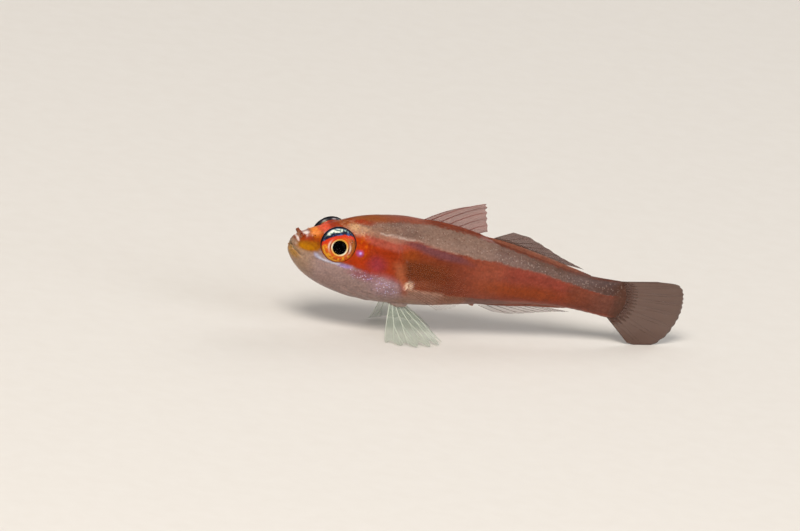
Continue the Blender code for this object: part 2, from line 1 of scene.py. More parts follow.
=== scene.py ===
# %% [markdown]
# # A coral goby, one step at a time
#
# This lesson dresses a finished construction model of a small reef fish, 31 mm long, as a museum would
# show it. The construction model, called the frame here, fixes the size and the place of every part.
# Each step below builds one part of the fish in mesh code or gives it its finish.

# %% Load the frame
import itertools
import math

import bmesh
import bpy
import numpy as np
from mathutils import Matrix, Vector


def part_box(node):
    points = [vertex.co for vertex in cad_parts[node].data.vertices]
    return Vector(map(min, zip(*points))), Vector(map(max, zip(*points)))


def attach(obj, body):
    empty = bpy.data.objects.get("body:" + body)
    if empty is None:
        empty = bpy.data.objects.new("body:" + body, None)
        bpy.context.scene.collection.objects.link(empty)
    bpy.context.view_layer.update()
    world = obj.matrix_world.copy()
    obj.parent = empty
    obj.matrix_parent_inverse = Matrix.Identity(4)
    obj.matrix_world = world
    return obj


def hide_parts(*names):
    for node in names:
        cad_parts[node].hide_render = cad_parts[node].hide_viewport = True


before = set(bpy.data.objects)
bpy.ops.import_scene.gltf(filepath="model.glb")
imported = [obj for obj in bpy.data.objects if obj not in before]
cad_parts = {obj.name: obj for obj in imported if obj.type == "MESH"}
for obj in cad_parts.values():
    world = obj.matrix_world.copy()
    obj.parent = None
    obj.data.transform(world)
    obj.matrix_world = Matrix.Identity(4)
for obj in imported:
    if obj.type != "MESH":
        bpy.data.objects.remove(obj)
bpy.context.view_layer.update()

MM = 0.001

# %% [markdown]
# ## A fish that lies straight
#
# It is far easier to draw a fish that lies straight along an axis than one that bends and leans. So every
# part is made in the fish's own space: x runs from the snout to the tail in millimetres, z is up, and the
# left side is at -y. One function then bends the tail, lifts the head and sets the fish in the frame.
# The frame's own eyes say where the fish stands.

# %% From the fish's own space to the frame
TAIL_BEND_START = 12.0
TAIL_BEND_RADIUS = 105.0
PITCH = math.radians(5.5)
EYE_CENTRE = (3.2, 1.44, 1.13)
STAND = np.array(Matrix.Rotation(PITCH, 3, "Y"))


def bent(points):
    """Points of the straight fish, with the tail bent to its right along an arc."""
    p = np.array(points, float)
    heading = np.maximum(p[..., 0] - TAIL_BEND_START, 0) / TAIL_BEND_RADIUS
    before = np.minimum(p[..., 0], TAIL_BEND_START)
    x = before + (TAIL_BEND_RADIUS - p[..., 1]) * np.sin(heading)
    y = TAIL_BEND_RADIUS * (1 - np.cos(heading)) + p[..., 1] * np.cos(heading)
    return np.stack([x, y, p[..., 2]], axis=-1)


def box_middle(node):
    """The middle of a frame node's box, in mm."""
    low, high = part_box(node)
    return np.array((low + high) / 2) / MM


eyes_in_frame = (box_middle("eye_left") + box_middle("eye_right")) / 2
SHIFT = eyes_in_frame - STAND @ np.array([EYE_CENTRE[0], 0, EYE_CENTRE[2]])


def in_frame(points):
    """Points of the straight fish, in mm, as points of the frame, in metres."""
    return (bent(points) @ STAND.T + SHIFT) * MM


print("the snout's tip is at", np.round(in_frame([0, 0, 0]) / MM, 2), "mm in the frame")

# %% [markdown]
# ## Smooth outlines
#
# A fish's outline is known at a few places: at the snout, over the eye, where the back fin starts. A curve
# through those places gives every height and width between them. A plain spline would swing out past some
# of them. This one never overshoots, so no bump appears that nobody drew.

# %% A curve through a few points


def curve_through(points):
    """A smooth function through (x, value) points, with no overshoot, for arrays of x."""
    xs, ys = np.array(points, float).T
    steps = np.diff(xs)
    rises = np.diff(ys) / steps
    slopes = np.concatenate([rises[:1], np.zeros(len(xs) - 2), rises[-1:]])
    near, far = 2 * steps[1:] + steps[:-1], steps[1:] + 2 * steps[:-1]
    same_way = rises[:-1] * rises[1:] > 0
    safe = np.where(same_way, rises[:-1], 1), np.where(same_way, rises[1:], 1)
    slopes[1:-1] = np.where(same_way, (near + far) / (near / safe[0] + far / safe[1]), 0)

    def value(x):
        i = np.clip(np.searchsorted(xs, x) - 1, 0, len(steps) - 1)
        t = np.clip((x - xs[i]) / steps[i], 0, 1)
        start = (1 + 2 * t) * (1 - t) ** 2 * ys[i] + t * (1 - t) ** 2 * steps[i] * slopes[i]
        return start + t * t * (3 - 2 * t) * ys[i + 1] + t * t * (t - 1) * steps[i] * slopes[i + 1]

    return value


back = curve_through([(0.0, 0.32), (0.12, 0.66), (0.4, 0.98), (1.0, 1.42), (2.0, 2.12), (3.2, 2.7),
                      (4.7, 3.14), (6.2, 3.45), (8.4, 3.69), (10.1, 3.66), (13.2, 3.36), (15.6, 2.94),
                      (18.9, 2.28), (21.3, 1.78), (23.4, 1.52), (25.0, 1.48)])
belly = curve_through([(0.0, -0.14), (0.15, -0.45), (0.6, -1.03), (1.7, -1.84), (3.0, -2.36), (4.6, -2.73),
                       (6.4, -2.86), (8.4, -2.78), (10.7, -2.55), (14.3, -1.88), (16.5, -1.54),
                       (19.5, -1.14), (21.5, -1.08), (23.6, -1.22), (25.0, -1.4)])
half_width = curve_through([(0.0, 0.24), (0.12, 0.46), (0.4, 0.8), (0.7, 1.04), (1.2, 1.32), (2.2, 1.62),
                            (3.4, 1.84), (5.0, 2.08), (6.8, 2.24), (8.6, 2.2), (11.0, 2.02), (14.0, 1.68),
                            (17.0, 1.3), (20.0, 0.96), (23.0, 0.64), (25.0, 0.4)])
widest_level = curve_through([(0.0, 0.05), (1.5, -0.2), (3.4, -0.45), (6.0, -0.2), (9.0, 0.25),
                              (15.0, 0.5), (21.0, 0.3), (25.0, 0.0)])
upper_power = curve_through([(0.0, 2.1), (2.0, 1.8), (4.0, 1.75), (7.5, 2.0), (14.0, 1.95), (25.0, 1.8)])
lower_power = curve_through([(0.0, 2.1), (3.0, 2.2), (8.0, 2.25), (13.0, 2.1), (25.0, 1.8)])
print("the deepest section is", round(float(back(8.4) - belly(8.4)), 2), "mm deep")

# %% [markdown]
# ## The body's surface
#
# Each cross-section of the fish is a superellipse: a rounder or squarer oval, split at the level where
# the fish is widest. The gill cover swells a little towards its free edge. The body could be sculpted by
# hand, but with one function for the surface, the skin, the scales and the roots of the fins all agree on
# where it is.

# %% A point of the body's surface
GILL_X = 7.75
GILL_LEVEL = 0.2
GILL_CURVE_UP = 0.095
GILL_CURVE_DOWN = 0.14
COVER_RISE = 0.1
COVER_WIDTH = 0.8
COVER_EDGE = 0.2
TAIL_ROOT = 25.0
BODY_END = 26.3
END_TAPER, END_TAPER_POWER = 0.93, 0.9
END_SCOOP, END_HALF_HEIGHT = 0.5, 1.4


def gill_edge(z):
    """Where along the body the gill cover ends at this level."""
    off = z - GILL_LEVEL
    return GILL_X - np.where(off > 0, GILL_CURVE_UP, GILL_CURVE_DOWN) * off * off


def body_point(x, turn):
    """Points of the surface. Turn goes round the section, from the right side over the back."""
    x, turn = np.broadcast_arrays(np.asarray(x, float), np.asarray(turn, float))
    across, up = np.cos(turn), np.sin(turn)
    level = widest_level(x)
    power = np.where(up > 0, upper_power(x), lower_power(x))
    reach = np.where(up > 0, back(x) - level, level - belly(x))
    past = np.clip((x - TAIL_ROOT) / (BODY_END - TAIL_ROOT), 0, 1)
    taper = 1 - END_TAPER * past ** END_TAPER_POWER
    y = half_width(x) * taper * np.sign(across) * np.abs(across) ** (2 / power)
    z = level + reach * np.sign(up) * np.abs(up) ** (2 / power)
    ahead = gill_edge(z) - x
    falling = np.exp(-np.where(ahead > 0, ahead / COVER_WIDTH, ahead / COVER_EDGE) ** 2)
    y = y + np.sign(y) * COVER_RISE * falling * np.abs(across)
    return np.stack([x - END_SCOOP * past * (z / END_HALF_HEIGHT) ** 2, y, z], axis=-1)


def breadth(x, z):
    """How far the body's side is from its middle plane at this length and level."""
    level = widest_level(x)
    over = z > level
    share = np.where(over, (z - level) / (back(x) - level), (level - z) / (level - belly(x)))
    power = np.where(over, upper_power(x), lower_power(x))
    return half_width(x) * np.clip(1 - np.clip(share, 0, 1) ** power, 0, 1) ** (1 / power)


print("the body is", round(2 * float(half_width(7.0)), 2), "mm wide behind the head")

# %% [markdown]
# ## Building blocks
#
# Most soft parts of an animal can be roughed out from four closed shapes: rings of points joined into a
# loft, a tube along a path, a stretched ball and a thin plate. Each helper gives plain lists of points and
# faces, so many small shapes can be joined into one mesh before Blender sees them.

# %% Lofts, tubes, balls and plates
POLE_GAP = 0.03


def loft(rings):
    """A closed skin over an array of rings, with flat ends, as (points, faces)."""
    count, sides = rings.shape[:2]
    index = np.arange(count * sides).reshape(count, sides)
    after = np.roll(index, -1, axis=1)
    quads = np.stack([index[:-1], after[:-1], after[1:], index[1:]], axis=-1).reshape(-1, 4)
    return rings.reshape(-1, 3), quads.tolist() + [index[0, ::-1].tolist(), index[-1].tolist()]


def tube(path, radii, sides=6, reference=(0, 1, 0), flatten=1.0):
    """A closed tube along a path. Flatten makes it thinner across the reference direction."""
    path = np.asarray(path, float)
    run = np.gradient(path, axis=0)
    run /= np.linalg.norm(run, axis=1, keepdims=True)
    side = np.cross(run, np.asarray(reference, float))
    side /= np.linalg.norm(side, axis=1, keepdims=True)
    over = np.cross(side, run)
    turns = 2 * np.pi * np.arange(sides) / sides
    radii = np.broadcast_to(radii, len(path))[:, None, None]
    ring = np.cos(turns)[:, None] * side[:, None] + flatten * np.sin(turns)[:, None] * over[:, None]
    return loft(path[:, None] + radii * ring)


def ball(centre, radii, turn=None, steps=24):
    """A stretched ball, as a loft from pole to pole along its own z."""
    polar = np.linspace(POLE_GAP, np.pi - POLE_GAP, steps // 2)
    round_it = 2 * np.pi * np.arange(steps) / steps
    ring = np.stack([np.cos(round_it), np.sin(round_it), np.zeros(steps)], axis=-1)
    points = np.sin(polar)[:, None, None] * ring - np.cos(polar)[:, None, None] * np.array([0, 0, 1])
    points = points * np.asarray(radii, float)
    if turn is not None:
        points = points @ np.array(turn).T
    return loft(points + np.asarray(centre, float))


def closed_plate(top, under):
    """A closed plate from two grids of points, its upper and its under side, as (points, faces)."""
    rows, columns = top.shape[:2]
    index = np.arange(rows * columns).reshape(rows, columns)
    quads = np.stack([index[:-1, :-1], index[:-1, 1:], index[1:, 1:], index[1:, :-1]], -1).reshape(-1, 4)
    rim = np.concatenate([index[0, :], index[1:, -1], index[-1, -2::-1], index[-2:0:-1, 0]])
    after, below = np.roll(rim, -1), rows * columns
    walls = np.stack([rim, rim + below, after + below, after], axis=-1)
    faces = quads[:, ::-1].tolist() + (quads + below).tolist() + walls.tolist()
    return np.concatenate([top.reshape(-1, 3), under.reshape(-1, 3)]), faces


def joined(parts):
    """Several (points, faces) as one."""
    starts = np.cumsum([0] + [len(points) for points, _ in parts])
    faces = [[i + start for i in face]
             for (_, part), start in zip(parts, starts.tolist()) for face in part]
    return np.concatenate([points for points, _ in parts]), faces


def mesh_object(name, points, faces, crease=180):
    """A new object with its normals facing out, smooth but for edges sharper than crease degrees."""
    mesh = bpy.data.meshes.new(name)
    mesh.from_pydata(np.asarray(points).tolist(), [], faces)
    bm = bmesh.new()
    bm.from_mesh(mesh)
    bmesh.ops.recalc_face_normals(bm, faces=bm.faces)
    bm.to_mesh(mesh)
    bm.free()
    mesh.shade_smooth()
    if crease < 180:
        mesh.set_sharp_from_angle(angle=math.radians(crease))
    obj = bpy.data.objects.new(name, mesh)
    bpy.context.scene.collection.objects.link(obj)
    return obj


print("a test ball has", len(ball((0, 0, 0), (1, 1, 1))[1]), "faces")

# %% [markdown]
# ## Working on finished points
#
# Blender stores a mesh's points in one flat list. Reading and writing that list as an array lets one line
# of arithmetic move or measure a hundred thousand points at once, which a loop would do slowly.

# %% Points of a mesh


def points_of(obj):
    """A mesh's points as an array of rows."""
    flat = np.zeros(len(obj.data.vertices) * 3, np.float32)
    obj.data.vertices.foreach_get("co", flat)
    return flat.reshape(-1, 3).astype(float)


def set_points(obj, points):
    """Moves a mesh's points to these places."""
    obj.data.vertices.foreach_set("co", np.asarray(points, np.float32).ravel())
    obj.data.update()


def normals_of(obj):
    """The way out of the surface at each point of a mesh."""
    flat = np.zeros(len(obj.data.vertices) * 3, np.float32)
    obj.data.vertices.foreach_get("normal", flat)
    return flat.reshape(-1, 3).astype(float)


def evaluated(obj):
    """Replaces an object's mesh by what its modifiers make of it."""
    bpy.context.view_layer.update()
    graph = bpy.context.evaluated_depsgraph_get()
    mesh = bpy.data.meshes.new_from_object(obj.evaluated_get(graph))
    obj.modifiers.clear()
    obj.data = mesh
    return obj


print("a test tube has", len(tube([(0, 0, 0), (1, 0, 0)], 0.1)[0]), "points")

# %% [markdown]
# ## Natural unevenness
#
# Nothing on an animal is quite even. Random values on a grid in space, blended smoothly between the grid's
# corners, give humps and hollows of any size. A seed makes them come out the same each time. Two small
# functions more say where an area starts, and how far a point is from a line.

# %% Humps, steps and lines
LATTICE_PRIMES = (73856093, 19349663, 83492791)
LATTICE_VALUES = 4096


def unevenness(points, size, seed):
    """Smooth random values from -1 to 1, with humps about size across."""
    values = np.random.default_rng(seed).uniform(-1, 1, LATTICE_VALUES)
    spot = np.asarray(points, float) / size
    cell = np.floor(spot).astype(np.int64)
    part = spot - cell
    part = part * part * (3 - 2 * part)
    total = np.zeros(len(spot))
    for corner in itertools.product((0, 1), repeat=3):
        place = (cell + corner) * LATTICE_PRIMES
        pick = (place[:, 0] ^ place[:, 1] ^ place[:, 2]) & (LATTICE_VALUES - 1)
        total += values[pick] * np.prod(np.where(corner, part, 1 - part), axis=1)
    return total


def step_up(low, high, value):
    """0 below low, 1 above high, and a smooth rise between them."""
    t = np.clip((value - low) / (high - low), 0, 1)
    return t * t * (3 - 2 * t)


def near(distance, width):
    """1 on a line or spot, fading out over width."""
    return np.exp(-((distance / width) ** 2))


print("unevenness at one point:", np.round(unevenness([[1.3, 0.2, 0.7]], 0.5, 1), 3))

# %% [markdown]
# ## The eye's own axes
#
# A goby's eyes sit high and look a little up and forward. Each eye is drawn flat, as if one looked straight
# into it, and these axes carry it to its place in the head. The same axes place the swelling of the head
# round the eye and the hollow that the eye sits in, so the three can't drift apart.

# %% Where the eyes look
EYE_RADIUS = 1.26
EYE_FRONT = 0.66
EYE_BACK = 0.8
EYE_TILT_UP = math.radians(11)
EYE_TURN_FORWARD = math.radians(8)
ORBIT_RADIUS = 1.34
ORBIT_DEPTH = 0.66
ORBIT_INSET = 0.5
EYE_CLEARANCE = 0.035
EYE_POLE_GAP = 0.02


def eye_axes(side):
    """Columns: towards the tail, up, and out of the eye. Side is -1 for left and 1 for right."""
    sideways = side * math.cos(EYE_TURN_FORWARD) * math.cos(EYE_TILT_UP)
    out = Vector((-math.sin(EYE_TURN_FORWARD), sideways, math.sin(EYE_TILT_UP))).normalized()
    up = (Vector((0, 0, 1)) - out * out.z).normalized()
    tailward = up.cross(out) * -side
    return np.array([tailward, up, out]).T


def eye_place(side):
    """The middle of an eye."""
    return np.array([EYE_CENTRE[0], side * EYE_CENTRE[1], EYE_CENTRE[2]])


def turned(profile, side, steps=48):
    """A shape turned round the eye's axis from (radius, height) points."""
    profile = np.array(profile, float)
    turns = 2 * np.pi * np.arange(steps) / steps
    rings = np.stack([profile[:, :1] * np.cos(turns), profile[:, :1] * np.sin(turns),
                      np.repeat(profile[:, 1:], steps, axis=1)], axis=-1)
    return loft(rings @ eye_axes(side).T + eye_place(side))


def eye_outline(grow):
    """Half of the eyeball's outline, from the middle of its front round to its back."""
    angles = np.linspace(np.pi / 2 - EYE_POLE_GAP, -np.pi / 2 + EYE_POLE_GAP, 28)
    height = np.where(angles > 0, EYE_FRONT + grow, EYE_BACK + grow)
    return np.stack([(EYE_RADIUS + grow) * np.cos(angles), height * np.sin(angles)], axis=-1)


print("the left eye looks along", np.round(eye_axes(-1)[:, 2], 2))

# %% [markdown]
# ## The mouth
#
# The goby's mouth is small and steep. Two soft lips follow one line from corner to corner round the snout,
# the upper lip the thicker. The gap between them is cut with a thin flat tube on the same line. Lips could
# be sculpted, but tubes on one line are easy to move until the mouth fits.

# %% The mouth's line and lips
MOUTH_FRONT = (0.27, 0.14)
MOUTH_CORNER = (1.3, -0.5)
MOUTH_SAG = 0.03
UPPER_LIP_RADIUS = 0.2
UPPER_LIP_RISE = 0.2
LOWER_LIP_RADIUS = 0.09
LOWER_LIP_DROP = 0.14
LIP_FRONT_X = 0.22
SLIT_FRONT_X = 0.06
LIP_CROWDING = 1.6
LIP_THINNING = 0.8
MOUTH_GAP = 0.02
MOUTH_DEPTH = 0.065
SLIT_THINNING = 0.8
CORNER_TUCK = 0.12


def mouth_level(x):
    """The height of the mouth's line."""
    (x0, z0), (x1, z1) = MOUTH_FRONT, MOUTH_CORNER
    share = (x - x0) / (x1 - x0)
    return z0 + (z1 - z0) * share - MOUTH_SAG * np.sin(np.pi * np.clip(share, 0, 1))


def mouth_route(shift, front_x=LIP_FRONT_X, steps=16):
    """Points from the left corner round the snout to the right one, and how near each is to a corner."""
    share = np.linspace(0, 1, steps + 1)
    x = front_x + (MOUTH_CORNER[0] - front_x) * share ** LIP_CROWDING
    y = breadth(x, mouth_level(x)) * np.where(share > 0, 1, 0) - CORNER_TUCK * share ** 4
    slope = math.atan2(MOUTH_FRONT[1] - MOUTH_CORNER[1], MOUTH_CORNER[0] - MOUTH_FRONT[0])
    half = np.stack([x + shift * math.sin(slope), y, mouth_level(x) + shift * math.cos(slope)], axis=-1)
    mirrored = (half * (1, -1, 1))[:0:-1]
    return np.concatenate([mirrored, half]), np.concatenate([share[:0:-1], share])


upper_route, upper_share = mouth_route(UPPER_LIP_RISE)
lower_route, lower_share = mouth_route(-LOWER_LIP_DROP)
upper_lip = tube(upper_route, UPPER_LIP_RADIUS * (1 - LIP_THINNING * upper_share ** 2), 14, (0, 0, 1))
lower_lip = tube(lower_route, LOWER_LIP_RADIUS * (1 - LIP_THINNING * lower_share ** 2), 14, (0, 0, 1))
slit_route, slit_share = mouth_route(0.0, SLIT_FRONT_X)
slit_radii = MOUTH_DEPTH * (1 - SLIT_THINNING * slit_share)
mouth_slit = tube(slit_route, slit_radii, 12, (0, 0, 1), MOUTH_GAP / MOUTH_DEPTH)
print("the mouth is", round(MOUTH_CORNER[0] - MOUTH_FRONT[0], 2), "mm long from the side")

# %% [markdown]
# ## Small parts that grow from the skin
#
# The front nostrils are short tubes and the rear ones are pits. The fins stand on low fleshy ridges and
# lobes. All of these run into the skin without a seam, so they are pushed into the body here and
# melted together in the next step.

# %% Nostrils, fin bases and the vent
NOSTRIL_X, NOSTRIL_Y = 0.78, 0.5
NOSTRIL_SINK = 0.32
NOSTRIL_LEAN = (-0.62, 0.35, 0.75)
NOSTRIL_TUBE = 0.44
NOSTRIL_RADIUS = 0.175
NOSTRIL_BORE = 0.08
REAR_NOSTRIL_X, REAR_NOSTRIL_Y = 1.5, 0.86
REAR_NOSTRIL_RADIUS = 0.1
PECTORAL_ROOT = ((8.25, 0.9), (8.75, -1.15))
PECTORAL_LOBE_AHEAD = 0.12
PECTORAL_LOBE = (0.42, 0.1, 1.2)
PELVIC_ROOT_X = (8.15, 9.45)
PELVIC_ROOT_Y = (1.12, 0.5)
PELVIC_LOBE = (0.75, 0.36, 0.24)
VENT_PATH = ((14.2, 0, -1.7), (14.45, 0, -1.93), (14.7, 0, -2.0))
VENT_RADII = (0.18, 0.13, 0.07)
# A ridge under each fin of the middle plane: where it starts and ends, its outline, height and width
RIDGES = ((9.4, 14.6, back, 0.15, 0.2), (14.2, 23.0, back, 0.3, 0.17), (14.6, 21.8, belly, 0.24, 0.16))


def level_at(x, y, upper):
    """The height of the surface this far from the middle plane, over or under the fish."""
    heights = np.linspace(float(widest_level(x)), float(back(x) if upper else belly(x)), 400)
    return float(heights[np.argmin(np.abs(breadth(x, heights) - y))])


def ridge(x_from, x_to, outline, height, width):
    """A low fleshy ridge along the back or belly for a fin to stand on."""
    xs = np.linspace(x_from, x_to, 40)
    swell = np.sin(np.pi * np.linspace(0.02, 0.98, 40)) ** 0.6
    path = np.stack([xs, 0 * xs, outline(xs)], axis=-1)
    return tube(path, height * swell, 12, (0, 1, 0), width / height)


fleshy = [ridge(*sizes) for sizes in RIDGES]
bores = []
for side in (-1, 1):
    root = np.array([NOSTRIL_X, side * NOSTRIL_Y, float(back(NOSTRIL_X)) - NOSTRIL_SINK])
    lean = np.array(NOSTRIL_LEAN) * (1, side, 1)
    lean /= np.linalg.norm(lean)
    along = np.linspace(0, 1, 8)
    flare = NOSTRIL_RADIUS * (1 - 0.2 * along)
    fleshy.append(tube(root + lean * NOSTRIL_TUBE * along[:, None], flare, 14))
    mouth = root + lean * NOSTRIL_TUBE
    bores.append(tube([mouth - lean * 0.25, mouth + lean * 0.3], NOSTRIL_BORE, 12))
    pit = (REAR_NOSTRIL_X, side * REAR_NOSTRIL_Y, level_at(REAR_NOSTRIL_X, REAR_NOSTRIL_Y, True))
    fleshy.append(ball(pit, (REAR_NOSTRIL_RADIUS * 1.4,) * 2 + (0.05,)))
    bores.append(ball(pit, (REAR_NOSTRIL_RADIUS * 0.8,) * 3))
    (x0, z0), (x1, z1) = PECTORAL_ROOT
    middle = ((x0 + x1) / 2 - PECTORAL_LOBE_AHEAD, side * float(breadth(8.4, -0.1)), (z0 + z1) / 2)
    lie = Matrix.Rotation(math.atan2(x0 - x1, z0 - z1), 3, "Y")
    fleshy.append(ball(middle, PECTORAL_LOBE, lie))
    foot_x, foot_y = sum(PELVIC_ROOT_X) / 2, sum(PELVIC_ROOT_Y) / 2
    fleshy.append(ball((foot_x, side * foot_y, level_at(foot_x, foot_y, False)), PELVIC_LOBE))
fleshy.append(tube(VENT_PATH, VENT_RADII, 12))
for side in (-1, 1):
    place = eye_place(side) - eye_axes(side)[:, 2] * ORBIT_INSET
    fleshy.append(ball(place, (ORBIT_RADIUS, ORBIT_RADIUS, ORBIT_DEPTH), eye_axes(side), 40))
print(len(fleshy), "fleshy parts and", len(bores), "holes")

# %% [markdown]
# ## One skin from nose to tail
#
# A real fish has one skin with no seams. The loft of the body and the small parts are first put in
# one mesh, though they cut through each other. A voxel remesh then walks over the outside and makes one
# closed surface of small squares. The hollows are cut from that, and a little smoothing rounds
# every edge as soft flesh would be. Joining the parts one by one with booleans would leave hard creases.

# %% Melt the parts into one skin
VOXEL = 0.05
HEAD_END = 8.4
HEAD_RINGS, BODY_RINGS, BODY_SIDES = 110, 150, 120
SNOUT_CROWDING = 1.4
SOFTEN_SHARE, SOFTEN_TIMES = 0.5, 5


def body_rings():
    """Rings of points round the body, closest together at the snout."""
    head_xs = HEAD_END * (np.arange(HEAD_RINGS) / HEAD_RINGS) ** SNOUT_CROWDING
    xs = np.concatenate([head_xs, np.linspace(HEAD_END, BODY_END, BODY_RINGS)])
    turns = 2 * np.pi * (np.arange(BODY_SIDES) + 0.5) / BODY_SIDES
    return body_point(xs[:, None], turns[None, :])


def cut_away(obj, parts):
    """Cuts closed shapes out of a closed mesh, one after the other."""
    for part in parts:
        cutter = mesh_object("cutter", *part)
        change = obj.modifiers.new("cut", "BOOLEAN")
        change.operation, change.solver, change.object = "DIFFERENCE", "MANIFOLD", cutter
        evaluated(obj)
        bpy.data.objects.remove(cutter)


skin = mesh_object("goby_skin", *joined([loft(body_rings()), upper_lip, lower_lip] + fleshy))
melt = skin.modifiers.new("melt", "REMESH")
melt.mode, melt.voxel_size = "VOXEL", VOXEL
evaluated(skin)
eye_hollows = [turned(eye_outline(EYE_CLEARANCE), side) for side in (-1, 1)]
cut_away(skin, eye_hollows + [mouth_slit] + bores)
soften = skin.modifiers.new("soften", "SMOOTH")
soften.factor, soften.iterations = SOFTEN_SHARE, SOFTEN_TIMES
evaluated(skin)
print("the skin has", len(skin.data.vertices), "points")

# %% [markdown]
# ## Relief of the head
#
# Under the wet skin of the cheek lie muscles and thin bones. They show as soft swellings and hollows: the
# cheek muscle below the eye, the edge of the cheek bone, the slot behind the gill cover, the groove under
# the eye, the folds of the throat, and the hollow between the eyes. A brush could sculpt them. Here each is
# a formula of the point's place, added along the surface's own normal, so it can be measured and moved.

# %% Push the relief into the skin
GILL_SLOT_DEPTH, GILL_SLOT_WIDTH = 0.035, 0.1
CHEEK_RISE = 0.07
UNDER_EYE_DEPTH = 0.04
THROAT_FOLD, THROAT_DEPTH = 0.42, 0.02
BETWEEN_EYES_DEPTH, ON_SNOUT_DEPTH = 0.2, 0.12
LIP_TIP_DEPTH = 0.1
GRAIN_SIZE, GRAIN_DEPTH = 0.55, 0.007


def relief(p):
    """How far the surface stands out, or in, at each point of the straight fish."""
    x, y, z = p.T
    flank = step_up(0.5, 1.1, np.abs(y))
    slot_span = step_up(-2.6, -2.1, z) * step_up(2.1, 1.6, z)
    slot = -GILL_SLOT_DEPTH * near(x - gill_edge(z) - 0.03, GILL_SLOT_WIDTH) * slot_span * flank
    bone_edge = 5.95 - 0.16 * (z + 0.2) ** 2
    edge_span = step_up(-2.0, -1.4, z) * step_up(1.7, 1.1, z) * flank
    edge = (0.03 * near(x - bone_edge + 0.12, 0.25) - 0.02 * near(x - bone_edge - 0.12, 0.14)) * edge_span
    cheek = CHEEK_RISE * near(np.hypot((x - 4.4) / 1.3, (z + 0.75) / 0.7), 1) * flank
    under_eye = -UNDER_EYE_DEPTH * near(z - (-0.28 + 0.06 * (x - 3) ** 2), 0.11) * step_up(1.2, 1.9, x)
    under_eye = under_eye * step_up(5.0, 4.4, x) * flank
    throat = THROAT_DEPTH * np.sin(2 * np.pi * (z + 0.35 * (x - 3)) / THROAT_FOLD)
    throat = throat * step_up(-1.5, -1.9, z) * step_up(2.6, 3.6, x) * step_up(7.4, 6.6, x)
    trench = -BETWEEN_EYES_DEPTH * near(x - 3.05, 1.15) * near(y, 0.8) * step_up(1.4, 2.0, z)
    trench = trench - ON_SNOUT_DEPTH * near(x - 1.75, 0.7) * near(y, 1.1) * step_up(0.5, 1.9, z)
    tip = -LIP_TIP_DEPTH * near(x + 0.05, 0.3) * near(z - 0.22, 0.3)
    grain = GRAIN_DEPTH * unevenness(p, GRAIN_SIZE, 3) + GRAIN_DEPTH / 2 * unevenness(p, GRAIN_SIZE / 3, 4)
    return slot + edge + cheek + under_eye + throat + trench + tip + grain


skin_points = points_of(skin)
skin_points += normals_of(skin) * relief(skin_points)[:, None]
set_points(skin, skin_points)
print("the relief runs from", np.round([relief(skin_points).min(), relief(skin_points).max()], 3), "mm")

# %% [markdown]
# ## Colours by name
#
# Colours are written as on a web page, in sRGB hex. Blender's shaders work in linear light, so one
# function turns the first into the second. Three more lay a colour over an area, an oval or a line.

# %% Hex to linear colour


def linear(code, alpha=1.0):
    """'#rrggbb' as a linear colour with alpha."""
    parts = [int(code[i:i + 2], 16) / 255 for i in (1, 3, 5)]
    return tuple(c / 12.92 if c <= 0.04045 else ((c + 0.055) / 1.055) ** 2.4 for c in parts) + (alpha,)


def painted(colour, code, amount):
    """Lays a hex colour over an array of colours, by an amount from 0 to 1 at each point."""
    return colour + (np.array(linear(code)[:3]) - colour) * np.clip(amount, 0, 1)[:, None]


def spot(x, z, centre, radii, lean=0.0, edge=0.35):
    """1 inside an oval of the side view, fading over the outer share of it given by edge."""
    c, s = math.cos(math.radians(lean)), math.sin(math.radians(lean))
    along = (x - centre[0]) * c + (z - centre[1]) * s
    over = (z - centre[1]) * c - (x - centre[0]) * s
    return step_up(1 + edge, 1 - edge, np.hypot(along / radii[0], over / radii[1]))


def stroke(x, z, points, width):
    """1 along a line of the side view through the points, fading out over width."""
    line = curve_through(points)
    ends = step_up(points[0][0] - width, points[0][0] + width, x)
    ends = ends * step_up(points[-1][0] + width, points[-1][0] - width, x)
    return near(z - line(x), width) * ends


print("coral red in linear light:", np.round(linear("#a33a20"), 3))

# %% [markdown]
# ## The areas of colour
#
# A living coral goby is half clear. The back is a smoky grey-pink, and a line parts it from the red flank.
# Below the flank lie the clear greyish pink chin and belly. Each area changes its colour along the fish, so
# each has a row of steps: a colour, and from where to where along the fish it fades in.

# %% Where each area lies and how it changes
BACK_LINE = [(3.2, 2.2), (5.0, 2.42), (6.5, 2.5), (8.0, 2.45), (9.0, 2.38), (10.0, 2.28), (11.0, 2.12),
             (12.0, 1.97), (13.0, 1.86), (15.0, 1.8), (17.0, 1.58), (18.0, 1.49), (20.0, 1.1), (22.0, 0.75),
             (24.0, 0.4), (25.0, 0.3)]
FLANK_FOOT = [(3.3, 0.1), (4.2, -0.06), (5.0, -0.25), (6.0, -0.5), (7.0, -0.6), (8.0, -0.8), (9.0, -1.1),
              (11.3, -1.1), (13.0, -1.05), (15.0, -1.0), (18.0, -0.85), (20.0, -0.8), (22.0, -0.85),
              (25.0, -1.1)]
back_line, flank_foot = curve_through(BACK_LINE), curve_through(FLANK_FOOT)
BELLY_COLOUR = "#967d77"
BELLY_STEPS = (("#9a786a", 7.5, 9.5), ("#865e4c", 11, 12), ("#765248", 13, 14.2), ("#8c584a", 15.5, 18))
BACK_STEPS = (("#80655a", 3, 4), ("#896e61", 8, 10), ("#785e55", 13.5, 16), ("#6a5147", 17, 19),
              ("#66504a", 20, 22), ("#56403a", 22.5, 24.5))
FLANK_STEPS = (("#98381f", 3.2, 3.4), ("#8e402a", 7.4, 8.6), ("#743828", 9.5, 11.5),
               ("#8a4836", 11.5, 15.0), ("#823e32", 15.0, 17.0), ("#743f30", 20.5, 22.0),
               ("#6e4337", 22.5, 24.5))


